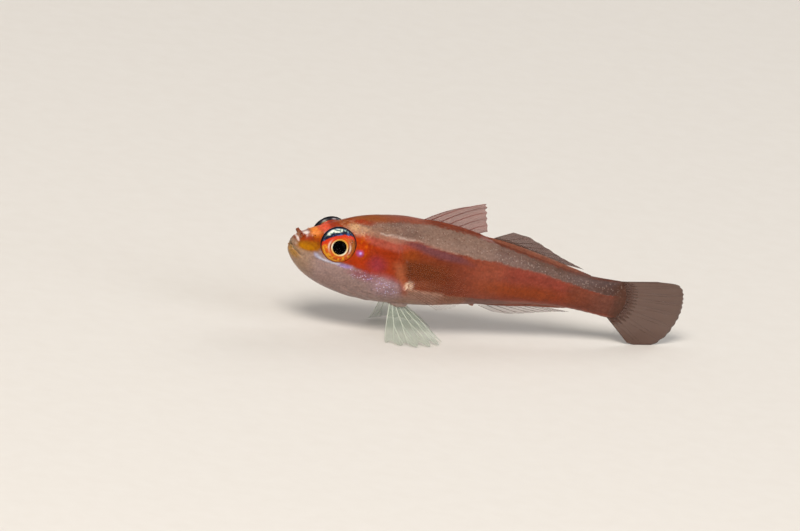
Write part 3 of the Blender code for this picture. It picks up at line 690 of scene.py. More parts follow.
def painted_along(colour, x, steps, amount=1.0):
    """Lays the steps of one area over an array of colours."""
    for code, x_from, x_to in steps:
        colour = painted(colour, code, amount * step_up(x_from, x_to, x))
    return colour


print("the flank is", round(float(back_line(10.0) - flank_foot(10.0)), 2), "mm deep 10 mm behind the snout")

# %% [markdown]
# ## Spots and lines
#
# The flank is brightest on the gill cover, dark olive where the gut shows through, and orange towards the
# tail. The snout is orange and yellow, with two small painted highlights on its wet skin. A lilac spot sits
# behind the eye, and a blue-white line under it.
# Each of these is an oval or a line in the side view, so a table holds them all and one loop paints them.
# An image could hold them too, but a table needs no picture file and can be tuned one row at a time.

# %% The tables of spots and lines
# A marking in the side view: colour, middle, radii, lean in degrees, softness of its edge, strength
FLANK_MARKS = (
    ("#a45546", (6.3, 1.98), (2.0, 0.4), -3, 0.5, 0.9),
    ("#b24012", (4.75, 1.35), (0.6, 0.85), 0, 0.4, 1.0),
    ("#a0381c", (4.9, 0.3), (0.7, 0.42), 0, 0.5, 1.0),
    ("#8b3540", (6.15, 0.35), (0.6, 0.55), 0, 0.7, 0.75),
    ("#96461e", (8.55, 1.32), (0.7, 0.42), -8, 0.7, 0.8),
    ("#704447", (10.4, 1.88), (2.6, 0.3), -9, 0.5, 0.9),
    ("#6c3822", (9.7, 0.42), (1.95, 0.95), -5, 0.75, 1.0),
    ("#6e3a24", (8.6, 0.45), (0.6, 0.5), -40, 0.5, 0.9),
    ("#84503c", (10.2, -0.6), (1.6, 0.3), -3, 0.7, 0.6),
    ("#8a4020", (17.8, -0.2), (3.4, 0.6), -1, 0.7, 0.8),
)
HEAD_MARKS = (
    ("#a07a4e", (0.3, -0.12), (0.5, 0.34), -50, 0.5, 0.9),
    ("#8c6450", (0.34, 0.38), (0.16, 0.12), 0, 0.6, 0.7),
    ("#a87a3c", (0.2, -0.1), (0.36, 0.22), -50, 0.6, 0.8),
    ("#864c56", (5.4, -0.62), (1.1, 0.32), -6, 0.7, 0.8),
    ("#a08088", (7.2, -1.2), (1.2, 0.7), -14, 0.7, 0.8),
    ("#c49474", (4.6, 2.37), (0.8, 0.3), 4, 0.7, 0.9),
    ("#987260", (5.6, 2.42), (0.8, 0.28), 0, 0.8, 0.8),
    ("#a27c68", (6.3, 2.78), (0.9, 0.3), 0, 0.8, 0.5),
    ("#a87c68", (6.9, 2.3), (1.0, 0.2), -2, 0.6, 0.65),
    ("#b85848", (5.3, 1.95), (0.7, 0.25), -10, 0.6, 0.6),
    ("#9c3e10", (1.15, 1.0), (0.75, 0.34), 10, 0.5, 1.0),
    ("#8e4408", (1.8, 0.95), (0.4, 0.4), 0, 0.6, 1.0),
    ("#b24e16", (1.9, 1.45), (0.45, 0.4), 30, 0.5, 1.0),
    ("#fa9440", (1.57, 1.62), (0.35, 0.32), 30, 0.6, 1.0),
    ("#ea6040", (2.12, 1.99), (0.42, 0.2), 30, 0.6, 0.9),
    ("#a06200", (1.18, 0.58), (0.76, 0.34), 4, 0.4, 1.0),
    ("#ba7a00", (1.05, 0.52), (0.4, 0.18), 4, 0.6, 0.8),
    ("#e8b886", (4.08, 2.52), (0.38, 0.22), 0, 0.6, 0.8),
    ("#984408", (3.58, 2.7), (0.6, 0.32), 14, 0.6, 0.9),
    ("#a04028", (4.7, 2.85), (0.8, 0.14), 9, 0.6, 0.9),
    ("#947ab2", (3.95, -0.2), (0.5, 0.13), -6, 0.6, 0.75),
    ("#9c4c86", (4.78, 0.87), (0.24, 0.2), 0, 0.7, 1.0),
    ("#c8a6f0", (4.8, 0.89), (0.1, 0.09), 0, 0.7, 1.0),
    # The next two rows are painted light: the fleshy foot of the belly fins and the vent are painted paler,
    # to offset the shade that falls under the belly.
    ("#a08c84", (9.0, -2.85), (1.4, 0.42), 0, 0.5, 0.9),
    ("#a87c6c", (14.6, -2.05), (0.6, 0.3), 0, 0.5, 0.9),
    ("#a87a5c", (0.54, 1.04), (0.12, 0.16), -40, 0.6, 0.8),
    # The last two rows are painted highlights: small pale spots where light mirrors off the wet snout.
    ("#fff2ec", (0.4, 0.84), (0.14, 0.1), -40, 0.6, 0.8),
    ("#fff2ec", (0.97, 1.35), (0.19, 0.07), 24, 0.6, 0.8),
)
# A fine line in the side view: colour, points, width, strength
LINES = (
    ("#ccb4a6", ((6.1, 2.52), (7.2, 2.5), (8.6, 2.46)), 0.07, 0.8),
    ("#a88878", ((8.0, 2.47), (10.0, 2.3), (12.0, 2.0)), 0.06, 0.6),
    ("#b89480", ((8.9, -1.04), (10.0, -1.16), (11.8, -1.16)), 0.13, 0.75),
    ("#a9a6c4", ((1.6, 0.2), (1.85, 0.12), (2.1, 0.0)), 0.12, 0.8),
    ("#b9b8c6", ((1.8, 0.2), (2.1, 0.03), (2.5, -0.1), (3.1, -0.16), (3.6, -0.12)), 0.08, 1.0),
)


def painted_spots(colour, x, z, marks, amount=1.0):
    """Lays a table of markings over an array of colours."""
    for code, middle, radii, lean, edge, strength in marks:
        colour = painted(colour, code, strength * amount * spot(x, z, middle, radii, lean, edge))
    return colour


print(len(FLANK_MARKS) + len(HEAD_MARKS), "spots and", len(LINES), "lines")

# %% [markdown]
# ## Paint by place
#
# A painter lays in the large areas first, then the head and the rust-red line along the back, and last the
# details. These functions do the same, one layer over the other. All of it follows from a point's place, so
# the skin and the scales over it carry one and the same pattern.

# %% The large areas


def paint_areas(points, x, z):
    """Belly, back and flank, with the flank's spots and the orange foot of the side fin."""
    colour = np.repeat([linear(BELLY_COLOUR)[:3]], len(x), axis=0)
    colour = painted_along(colour, x, BELLY_STEPS)
    colour = painted(colour, "#a0826c", step_up(2.2, 0.7, x))
    above = z - back_line(x) + step_up(9, 13, x) * 0.08 * unevenness(points, 0.14, 34)
    over_back = step_up(-0.14, 0.16, above) * step_up(3.6, 4.4, x)
    colour = painted_along(colour, x, BACK_STEPS, over_back)
    below = z - flank_foot(x)
    in_flank = step_up(0.12, -0.16, above) * step_up(-0.16, 0.12, below) * step_up(3.3, 3.7, x)
    colour = painted_along(colour, x, FLANK_STEPS, in_flank)
    colour = painted_spots(colour, x, z, FLANK_MARKS, in_flank)
    fin_foot = near(x - (8.15 - 0.45 * (z + 0.3)), 0.4) * step_up(-1.9, -1.3, z) * step_up(1.1, 0.3, z)
    return painted(colour, "#a0583a", fin_foot)


def paint_head_and_stripe(colour, points, x, z, side, height):
    """The top of the head, and the ragged rust-red line along the middle of the back."""
    top_of_head = step_up(0.9, 1.5, z) * step_up(4.4, 3.4, x)
    colour = painted(colour, "#8e4e38", step_up(2.2, 1.8, x) * step_up(0.6, 0.85, z))
    colour = painted(colour, "#de5036", top_of_head * step_up(1.7, 2.2, x))
    colour = painted(colour, "#a43a22", top_of_head * step_up(2.3, 2.8, x) * step_up(1.95, 2.2, z))
    ragged = 0.5 * unevenness(points, 0.22, 17) + 0.4 * unevenness(points, 0.11, 18)
    reach = np.interp(x, (5, 9.5, 13), (0.32, 0.16, 0.12))
    stripe = step_up(1.5, 0.5, height / reach + ragged * step_up(6, 9, x)) * step_up(1.2, 0.7, side)
    stripe = stripe * step_up(3.2, 4.0, x)
    colour = painted(colour, "#7c4232", stripe * (1 - 0.7 * step_up(19.5, 22.5, x)))
    colour = painted(colour, "#945442", stripe * step_up(11.0, 8.5, x))
    return painted(colour, "#96542f", stripe * step_up(7.8, 5.5, x))


test_place = np.array([[9.0, -2.0, 0.5]])
test_colour = paint_areas(test_place, test_place[:, 0], test_place[:, 2])
print("the olive patch is", np.round(test_colour[0], 3), "in linear light")

# %% [markdown]
# ## Details, and how light or dark they are
#
# The last layer holds flecks of orange and gold, the silvery fleck under the side fin, the feet of the
# fins, a painted highlight along the top of the rear dorsal fin's ridge, and a greyish-brown lip colour
# along the mouth's line. Whatever looks up is darkened: partly because a fish is countershaded, darker on
# top than below, and partly as painted shade that offsets the stronger light falling on upper surfaces. The
# gloss of the wet skin adds a little light everywhere, and SHEEN takes that off the paint.

# %% The details
SHEEN = 0.0095
COUNTERSHADE_AND_PAINTED_SHADE = 0.2


def paint_details(colour, points, x, z, height):
    """Spots, lines and flecks of the head, the feet of the fins, and the mouth's line."""
    colour = painted_spots(colour, x, z, HEAD_MARKS)
    for code, line, width, strength in LINES:
        colour = painted(colour, code, strength * stroke(x, z, line, width))
    flame = spot(x, z, (5.0, 1.3), (0.6, 0.8)) * step_up(0.1, 0.7, unevenness(points, 0.2, 15))
    colour = painted(colour, "#cc6820", 0.5 * flame * step_up(4.2, 4.6, x))
    gold = spot(x, z, (4.5, 2.38), (1.1, 0.4), 2, 0.6) * step_up(-0.2, 0.6, unevenness(points, 0.13, 16))
    colour = painted(colour, "#dcae88", 0.5 * gold)
    fleck = spot(x, z, (8.9, -0.8), (0.34, 0.3), 30, 0.7) * step_up(-0.9, 0.1, unevenness(points, 0.1, 19))
    colour = painted(colour, "#f0d2b4", fleck)
    # Along the rear dorsal fin's foot: an orange-brown band, a painted highlight along the top of its
    # ridge, and a thin dark line at its foot.
    along_fin = step_up(14.3, 15.2, x) * step_up(23.0, 21.8, x)
    colour = painted(colour, "#8a5440", along_fin * step_up(0.1, -0.08, height))
    ridge_highlight = step_up(-0.2, -0.28, height) * step_up(16.5, 18, x)
    colour = painted(colour, "#8c6c5e", 0.8 * along_fin * ridge_highlight)
    colour = painted(colour, "#64392e", 0.6 * along_fin * near(height - 0.06, 0.05))
    colour = painted(colour, "#5a3c31", step_up(24.6, 25.8, x))
    return painted(colour, "#98806c", 0.7 * near(z - mouth_level(x), 0.08) * step_up(1.5, 1.2, x))


def paint(points):
    """The colour of the skin at each point of the straight fish."""
    points = np.asarray(points, float)
    x, y, z = points.T
    side, height = np.abs(y), back(x) - z
    facing_up = step_up(0.15, 1.0, (z - widest_level(x)) / (back(x) - widest_level(x)))
    x = x + 0.1 * unevenness(points, 0.9, 11) + 0.05 * unevenness(points, 0.3, 13)
    z = z + 0.06 * unevenness(points, 0.9, 12) + 0.04 * unevenness(points, 0.25, 14)
    colour = paint_areas(points, x, z)
    colour = paint_head_and_stripe(colour, points, x, z, side, height)
    colour = paint_details(colour, points, x, z, height)
    streaks = 0.1 * unevenness(points * (0.15, 1, 1), 0.13, 31) * step_up(4, 6, x)
    mottle = 0.05 * unevenness(points, 0.3, 32) + 0.08 * unevenness(points, 0.15, 33)
    colour = colour * (1 + streaks + mottle)[:, None]
    # Skin that faces up is darkened: partly the fish's countershading, partly painted shade against the
    # light from above.
    colour = colour * (1 - COUNTERSHADE_AND_PAINTED_SHADE * facing_up)[:, None]
    return np.clip(colour - SHEEN, 0.001, 1)


print("the middle of the flank is", np.round(paint([[6.5, -2.2, 1.0]])[0], 3))

# %% [markdown]
# ## Where it glitters
#
# Along the lower cheek and the gill cover, cells full of tiny crystals flash like mirrors, and fine pale
# and dark specks show in the clear flesh of the back. Both are too many to place by hand. Here they only
# get an amount from 0 to 1 by place, and the material strews them.

# %% How much it glitters and is speckled


def glitter(points):
    """Where silvery and lilac mirror cells lie thick, from 0 to 1."""
    x, _, z = np.asarray(points, float).T
    amount = 0.9 * spot(x, z, (5.9, -0.85), (1.2, 0.4), -8, 0.7)
    amount = np.maximum(amount, spot(x, z, (7.3, -1.35), (0.9, 0.5), -10, 0.7))
    amount = np.maximum(amount, spot(x, z, (3.95, -0.22), (0.6, 0.18), -6, 0.6))
    return np.maximum(amount, 0.3 * spot(x, z, (9.0, -0.85), (0.5, 0.3), 30, 0.6))


def speckle(points):
    """Where fine pale and dark specks show in the clear flesh, from 0 to 1."""
    x, _, z = np.asarray(points, float).T
    on_back = step_up(-0.1, 0.2, z - back_line(x)) * step_up(0.1, 0.4, back(x) - z)
    behind_head = 0.06 * step_up(8.2, 9.0, x) * step_up(-0.1, 0.1, z - flank_foot(x))
    on_nape = 0.9 * spot(x, z, (4.6, 2.4), (1.1, 0.4), 2, 0.6)
    return 0.03 + 0.97 * np.maximum(np.maximum(on_back * step_up(4.5, 6, x), behind_head), on_nape)


print("the gill cover's foot glitters by", np.round(glitter([[7.3, -2.0, -1.35]])[0], 2))

# %% [markdown]
# ## Carry the markings on the mesh
#
# The colours and amounts are stored on the mesh as attributes, and the material reads them. The points also
# get a flat map of the skin: how far along the fish and how far round it each one lies. A baked picture of
# the skin can later be laid on by that map.

# %% Store the markings and the flat map
MAP_NAME = "OFBake"
MAP_LENGTH = 27.0
MAP_MARGIN = 0.02
MAP_SPAN = 0.96


def store_colours(obj, name, colours):
    """Stores a colour at each point of a mesh, under a name that a material can read."""
    layer = obj.data.attributes.new(name, "FLOAT_COLOR", "POINT")
    colours = np.concatenate([colours, np.ones((len(colours), 1))], axis=1)
    layer.data.foreach_set("color", colours.astype(np.float32).ravel())


def carry_markings(obj, points):
    """Stores what paint, glitter and speckle say of each point."""
    store_colours(obj, "markings", paint(points))
    for name, rule in (("glitter", glitter), ("speckle", speckle)):
        layer = obj.data.attributes.new(name, "FLOAT", "POINT")
        layer.data.foreach_set("value", rule(points).astype(np.float32))


def flat_place(points):
    """Each point's place on the flat map, with its seam along the belly."""
    x, y, z = np.asarray(points, float).T
    round_it = np.arctan2(y, -(z - widest_level(x))) / (2 * np.pi)
    return np.stack([MAP_MARGIN + MAP_SPAN * (x + 1) / MAP_LENGTH, 0.5 + MAP_SPAN * round_it], axis=-1)


def carry_map(obj, places):
    """Writes a UV map from each point's place, and keeps faces on the seam in one piece."""
    corners = np.zeros(len(obj.data.loops), np.int32)
    obj.data.loops.foreach_get("vertex_index", corners)
    uv = places[corners].copy()
    starts = np.zeros(len(obj.data.polygons), np.int32)
    totals = np.zeros(len(obj.data.polygons), np.int32)
    obj.data.polygons.foreach_get("loop_start", starts)
    obj.data.polygons.foreach_get("loop_total", totals)
    face = np.repeat(np.arange(len(starts)), totals)
    highest = np.zeros(len(starts))
    np.maximum.at(highest, face, uv[:, 1])
    uv[:, 1] += np.where(highest[face] - uv[:, 1] > 0.5, MAP_SPAN, 0)
    layer = obj.data.uv_layers.new(name=MAP_NAME)
    layer.data.foreach_set("uv", uv.astype(np.float32).ravel())


carry_markings(skin, skin_points)
carry_map(skin, flat_place(skin_points))
set_points(skin, in_frame(skin_points))
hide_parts("head", "trunk", "tail")
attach(skin, "root")
skin_map = flat_place(skin_points)
print("the skin's map spans", np.round(skin_map.min(axis=0), 2), "to", np.round(skin_map.max(axis=0), 2))

# %% [markdown]
# ## Helpers for materials
#
# A material in Blender is a graph of nodes. The first function adds one node, sets what it is told and
# links the rest. A setting is a plain value, and an input may be a value or another node's output. Most
# finishes below also need a new material, sizes in millimetres, and noise that makes something uneven.

# %% Add one node, and what goes with it


def add_node(tree, kind, inputs=None, **settings):
    """A new node of this kind, with its settings made and its inputs set or linked."""
    node = tree.nodes.new(kind)
    for name, value in settings.items():
        setattr(node, name, value)
    for name, value in (inputs or {}).items():
        if isinstance(value, bpy.types.NodeSocket):
            tree.links.new(value, node.inputs[name])
        else:
            node.inputs[name].default_value = value
    return node


def new_material(name):
    """A material whose node tree is empty, and the tree."""
    material = bpy.data.materials.new(name)
    material.use_nodes = True
    material.node_tree.nodes.clear()
    return material, material.node_tree


def per_metre(size_mm):
    """The scale of a texture whose pattern repeats at this size."""
    return 1 / (size_mm * MM)


def unevenly(tree, place, size, detail, change):
    """A noise with humps of this size, and a factor from it that runs from 1 - change to 1 + change."""
    noise = add_node(tree, "ShaderNodeTexNoise", {"Vector": place, "Scale": per_metre(size),
                                                  "Detail": detail}).outputs["Fac"]
    factor = add_node(tree, "ShaderNodeMapRange", {"Value": noise, "From Min": 0.3, "From Max": 0.7,
                                                   "To Min": 1 - change, "To Max": 1 + change})
    return noise, factor.outputs["Result"]


print("a 0.1 mm pattern has scale", per_metre(0.1))

# %% [markdown]
# ## Pigment and mirror cells
#
# Fish skin is clear, like jelly, and what colours it are cells in and under it. Pigment cells, about 0.1 mm
# across, make the colour finely uneven and stand out here and there as pale or dark specks. They are drawn
# a little larger than they are, at 0.14 and 0.16 mm, so that they still show. Mirror cells flash white or
# lilac. A painted image would need millions of dots. Noise and cell patterns strew them by themselves.

# %% Uneven pigment, specks and flashes
PIGMENT_CELL = 0.14
PIGMENT_GRAIN = 0.16
MIRROR_CELL = 0.12
BLOTCH = 0.7
# Pale and dark specks: which random number of a cell picks them, from where to where, how dense, colour
SPECKS = (("Red", 0.3, 0.9, 0.36, "#c4b0a2"), ("Green", 0.4, 0.9, 0.66, "#58301f"))
MIRROR_WHITE, MIRROR_LILAC = "#e8e4ea", "#9c90e0"


def uneven_pigment(tree, place, colour):
    """The colour made unevenly light and dark, in blotches and in a fine grain."""
    _, blotchy = unevenly(tree, place, BLOTCH, 4.0, 0.07)
    _, grainy = unevenly(tree, place, PIGMENT_GRAIN, 2.0, 0.16)
    uneven = add_node(tree, "ShaderNodeMath", {0: blotchy, 1: grainy},
                      operation="MULTIPLY").outputs["Value"]
    return add_node(tree, "ShaderNodeVectorMath", {0: colour, "Scale": uneven},
                    operation="SCALE").outputs["Vector"]


def specks(tree, place, colour, speckled):
    """The colour with round pale and dark specks where it is speckled."""
    cells = add_node(tree, "ShaderNodeTexVoronoi", {"Vector": place, "Scale": per_metre(PIGMENT_CELL)})
    chance = add_node(tree, "ShaderNodeSeparateColor", {"Color": cells.outputs["Color"]})
    round_dot = add_node(tree, "ShaderNodeMapRange", {"Value": cells.outputs["Distance"], "From Min": 0.5,
                                                      "From Max": 0.15}).outputs["Result"]
    dot = add_node(tree, "ShaderNodeMath", {0: round_dot, 1: speckled},
                   operation="MULTIPLY").outputs["Value"]
    for part, low, high, share, code in SPECKS:
        often = add_node(tree, "ShaderNodeMapRange", {"Value": chance.outputs[part], "From Min": low,
                                                      "From Max": high, "To Max": share}).outputs["Result"]
        amount = add_node(tree, "ShaderNodeMath", {0: dot, 1: often}, operation="MULTIPLY").outputs["Value"]
        colour = add_node(tree, "ShaderNodeMix", {"Factor": amount, "A": colour, "B": linear(code)},
                          data_type="RGBA").outputs["Result"]
    return colour


def mirror_flashes(tree, place, colour, mirrored):
    """The colour with small white and lilac flashes where it glitters."""
    mirrors = add_node(tree, "ShaderNodeTexVoronoi", {"Vector": place, "Scale": per_metre(MIRROR_CELL)})
    pick = add_node(tree, "ShaderNodeSeparateColor", {"Color": mirrors.outputs["Color"]})
    lit = add_node(tree, "ShaderNodeMapRange", {"Value": pick.outputs["Red"], "From Min": 0.55,
                                                "From Max": 0.65}).outputs["Result"]
    small = add_node(tree, "ShaderNodeMapRange", {"Value": mirrors.outputs["Distance"], "From Min": 0.42,
                                                  "From Max": 0.25}).outputs["Result"]
    flash = add_node(tree, "ShaderNodeMath", {0: lit, 1: small}, operation="MULTIPLY").outputs["Value"]
    flash = add_node(tree, "ShaderNodeMath", {0: flash, 1: mirrored}, operation="MULTIPLY").outputs["Value"]
    tint = add_node(tree, "ShaderNodeMix", {"Factor": pick.outputs["Green"], "A": linear(MIRROR_WHITE),
                                            "B": linear(MIRROR_LILAC)}, data_type="RGBA").outputs["Result"]
    return add_node(tree, "ShaderNodeMix", {"Factor": flash, "A": colour, "B": tint},
                    data_type="RGBA").outputs["Result"]


print("there are about", round(1 / PIGMENT_CELL ** 2), "pigment cells to a square millimetre")

# %% [markdown]
# ## Wet fish skin
#
# The skin wears a coat of slime. Light sinks in a little way and comes out softened, which is what tells
# flesh from plastic, and the slime gives small sharp highlights on a finely wrinkled surface. Under water
# these are weak, because water bends light almost as much as slime does, so the IOR is lower than in air.
# The scales share the skin's markings and gloss. They are too thin for light to sink in.

# %% The skin's material
SKIN_WRINKLE = 0.09
FLESH_RADII = (1.0, 0.45, 0.3)
FLESH_DEPTH = 0.2


def wet_skin(name, depth=0.0):
    """Skin with its markings. Depth is the share of light that sinks in and comes out softened."""
    material, tree = new_material(name)
    place = add_node(tree, "ShaderNodeTexCoord").outputs["Object"]
    colour = add_node(tree, "ShaderNodeAttribute", attribute_name="markings").outputs["Color"]
    speckled = add_node(tree, "ShaderNodeAttribute", attribute_name="speckle").outputs["Fac"]
    mirrored = add_node(tree, "ShaderNodeAttribute", attribute_name="glitter").outputs["Fac"]
    colour = uneven_pigment(tree, place, colour)
    colour = specks(tree, place, colour, speckled)
    colour = mirror_flashes(tree, place, colour, mirrored)
    fine = add_node(tree, "ShaderNodeTexNoise", {"Vector": place, "Scale": per_metre(SKIN_WRINKLE),
                                                 "Detail": 3.0}).outputs["Fac"]
    bump = add_node(tree, "ShaderNodeBump", {"Height": fine, "Strength": 0.25,
                                             "Distance": 0.01 * MM}).outputs["Normal"]
    rough = add_node(tree, "ShaderNodeMapRange", {"Value": fine, "To Min": 0.24,
                                                  "To Max": 0.4}).outputs["Result"]
    skin_shader = {"Base Color": colour, "Roughness": rough, "Normal": bump, "IOR": 1.22,
                   "Subsurface Weight": depth, "Subsurface Radius": FLESH_RADII,
                   "Subsurface Scale": FLESH_DEPTH * MM, "Coat Weight": 0.06, "Coat Roughness": 0.1,
                   "Coat IOR": 1.35}
    shader = add_node(tree, "ShaderNodeBsdfPrincipled", skin_shader)
    add_node(tree, "ShaderNodeOutputMaterial", {"Surface": shader.outputs["BSDF"]})
    return material


skin_material = wet_skin("living_fish_skin_with_slime", 0.25)
scale_material = wet_skin("thin_clear_fish_scale")
skin.data.materials.clear()
skin.data.materials.append(skin_material)
print("the skin's material has", len(skin_material.node_tree.nodes), "nodes")

# %% [markdown]
# ## The way round the body
#
# Scales have to be as wide on the belly as on the side. Equal steps of the turn angle would crowd them in
# some places and stretch them in others. So the way round each section is measured first, and a table then
# gives the turn for any share of it.

# %% Measure the way round
ARC_STEPS = 721
ARC_XS = np.linspace(4.0, BODY_END, 220)
ARC_TURNS = np.linspace(-np.pi / 2, 1.5 * np.pi, ARC_STEPS)
arc_rings = body_point(ARC_XS[:, None], ARC_TURNS[None, :])
arc_lengths = np.linalg.norm(np.diff(arc_rings, axis=1), axis=2)
arc_totals = arc_lengths.sum(axis=1)
arc_shares = np.concatenate([np.zeros((len(ARC_XS), 1)), np.cumsum(arc_lengths, axis=1)], axis=1)
arc_shares /= arc_totals[:, None]
SHARE_STEPS = np.linspace(0, 1, ARC_STEPS)
turn_table = np.array([np.interp(SHARE_STEPS, shares, ARC_TURNS) for shares in arc_shares])


def turn_at(x, share):
    """The turn that is this share of the way round, from the belly up the right side."""
    row = np.clip((x - ARC_XS[0]) / (ARC_XS[1] - ARC_XS[0]), 0, len(ARC_XS) - 1.001)
    column = (share % 1) * (len(SHARE_STEPS) - 1)
    i, j = row.astype(int), np.minimum(column.astype(int), len(SHARE_STEPS) - 2)
    u, v = row - i, column - j
    first = turn_table[i, j] * (1 - v) + turn_table[i, j + 1] * v
    following = turn_table[i + 1, j] * (1 - v) + turn_table[i + 1, j + 1] * v
    return first * (1 - u) + following * u


def lifted(x, share, height):
    """Points at a height over the body's surface, this far along and round."""
    step = 0.01
    turn = turn_at(x, share)
    here = body_point(x, turn)
    along = body_point(x + step, turn) - here
    around = body_point(x, turn + step) - here
    normal = np.cross(around, along)
    normal /= np.linalg.norm(normal, axis=-1, keepdims=True)
    outwards = np.sign(np.sum(normal * (here - np.stack([x, 0 * x, widest_level(x)], axis=-1)), axis=-1))
    return here + normal * (outwards * height)[..., None]


print("the way round the body at its widest is", round(float(arc_totals.max()), 2), "mm")

# %% [markdown]
# ## Scales
#
# The body behind the gill cover is clad in thin clear scales, in 32 rows from the nape to the tail, with
# nine to a side. Each has a rounded rear edge and lies over the one behind it like a roof tile. A bump map
# could hint at them, but real plates, sunk at the root and lifted at the rear edge, also catch the light
# from the side and show in the outline. Each is a little out of place, as grown scales are.

# %% Scales as thin overlapping plates
SCALE_ROWS = 32
SCALES_ROUND = 18
SCALES_FROM, SCALES_TO = 5.0, 24.9
SCALE_LENGTH = 1.75
SCALE_WIDTH = 1.22
SCALE_THICKNESS = 0.008
SCALE_SINK, SCALE_LIFT, SCALE_ARCH = 0.012, 0.026, 0.006
SCALE_GRID = (7, 9)
SCALE_SEED = 7
BARE_BACK = 0.22
COATS_MEET = 14.4
PATCH = 0.003


def scale_roots():
    """Each scale's root: how far along, its share of the way round, and its length and width."""
    pitch = (SCALES_TO - SCALES_FROM) / SCALE_ROWS
    random = np.random.default_rng(SCALE_SEED)
    for row in range(SCALE_ROWS):
        x = SCALES_FROM + pitch * row
        for i in range(SCALES_ROUND):
            share = (i + 0.5 * (row % 2)) / SCALES_ROUND
            jitter = random.uniform(-1, 1, 3)
            width = SCALE_WIDTH * (1 + 0.04 * jitter[2])
            yield x + 0.03 * jitter[0], share + 0.002 * jitter[1], pitch * SCALE_LENGTH, width


def scale_is_bare(x, share):
    """Gill cover, cheek, breast, the ridge of the back and the fin bases carry no scales."""
    here = body_point(x, turn_at(np.array(x), np.array(share)))
    if back(x) - here[2] < BARE_BACK:
        return True
    in_front = x < gill_edge(here[2]) + 0.1 and here[2] < 2.15
    by_fin_base = abs(x - 8.5) < 0.75 and -1.6 < here[2] < 1.2
    return in_front or by_fin_base or (x < 9.6 and here[2] < -1.9)


def scale_plate(x0, share0, length, width):
    """One scale as (points, faces), and each point's place on its own small patch."""
    rows, columns = SCALE_GRID
    across = np.linspace(-1, 1, columns)[None, :]
    along = np.linspace(0, 1, rows)[:, None]
    reach = 1 - 0.4 * np.abs(across) ** 2.4
    x = np.minimum(x0 + length * along * reach, BODY_END - 0.05)
    share = share0 + across * width / 2 / SCALES_ROUND * (1 - 0.12 * along ** 2)
    rise = step_up(SCALES_FROM - 0.3, SCALES_FROM + 2.0, x)
    rise = rise * step_up(SCALES_TO + 0.6, SCALES_TO - 1.0, x)
    height = (0.002 + SCALE_LIFT * along * reach - SCALE_ARCH * across ** 2) * rise - SCALE_SINK
    plate = closed_plate(lifted(x, share, height), lifted(x, share, height - SCALE_THICKNESS))
    patch = np.stack([along + 0 * across, across / 2 + 0 * along], axis=-1).reshape(-1, 2)
    return plate, np.concatenate([patch] * 2)


def scale_coat(name, x_from, x_to):
    """All scales with their roots between two places along the fish, as one piece."""
    plates, maps = [], []
    for root in scale_roots():
        if x_from <= root[0] < x_to and not scale_is_bare(root[0], root[1]):
            plate, patch = scale_plate(*root)
            plates.append(plate)
            foot = flat_place(plate[0][:1])
            maps.append(foot + (patch - (0.5, 0)) * PATCH)
    points, faces = joined(plates)
    coat = mesh_object(name, in_frame(points), faces, 50)
    carry_markings(coat, points)
    carry_map(coat, np.concatenate(maps))
    coat.data.materials.append(scale_material)
    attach(coat, "root")
    print(name, "has", len(plates), "scales and", 2 * len(faces), "triangles")


scale_coat("scales_trunk", 0, COATS_MEET)
scale_coat("scales_tail", COATS_MEET, TAIL_ROOT)

# %% [markdown]
# ## The colours of the eye
#
# Straight on, the goby's eye shows a black pupil in a thin cream ring, a fiery iris that is red above and
# orange below, and over them a dark crescent with a silver glint. It could be a picture on a ball. Here it
# is painted by the same kind of rules as the skin, so it stays sharp however close one looks.

# %% Paint the iris
PUPIL_CENTRE = (0.05, -0.13)
PUPIL_SHARE = 0.41
IRIS_RINGS, IRIS_SPOKES = 60, 128
CRESCENT = curve_through([(-1.0, -0.06), (-0.85, 0.09), (-0.45, 0.38), (-0.08, 0.57), (0.28, 0.65),
                          (0.65, 0.63), (1.0, 0.48)])


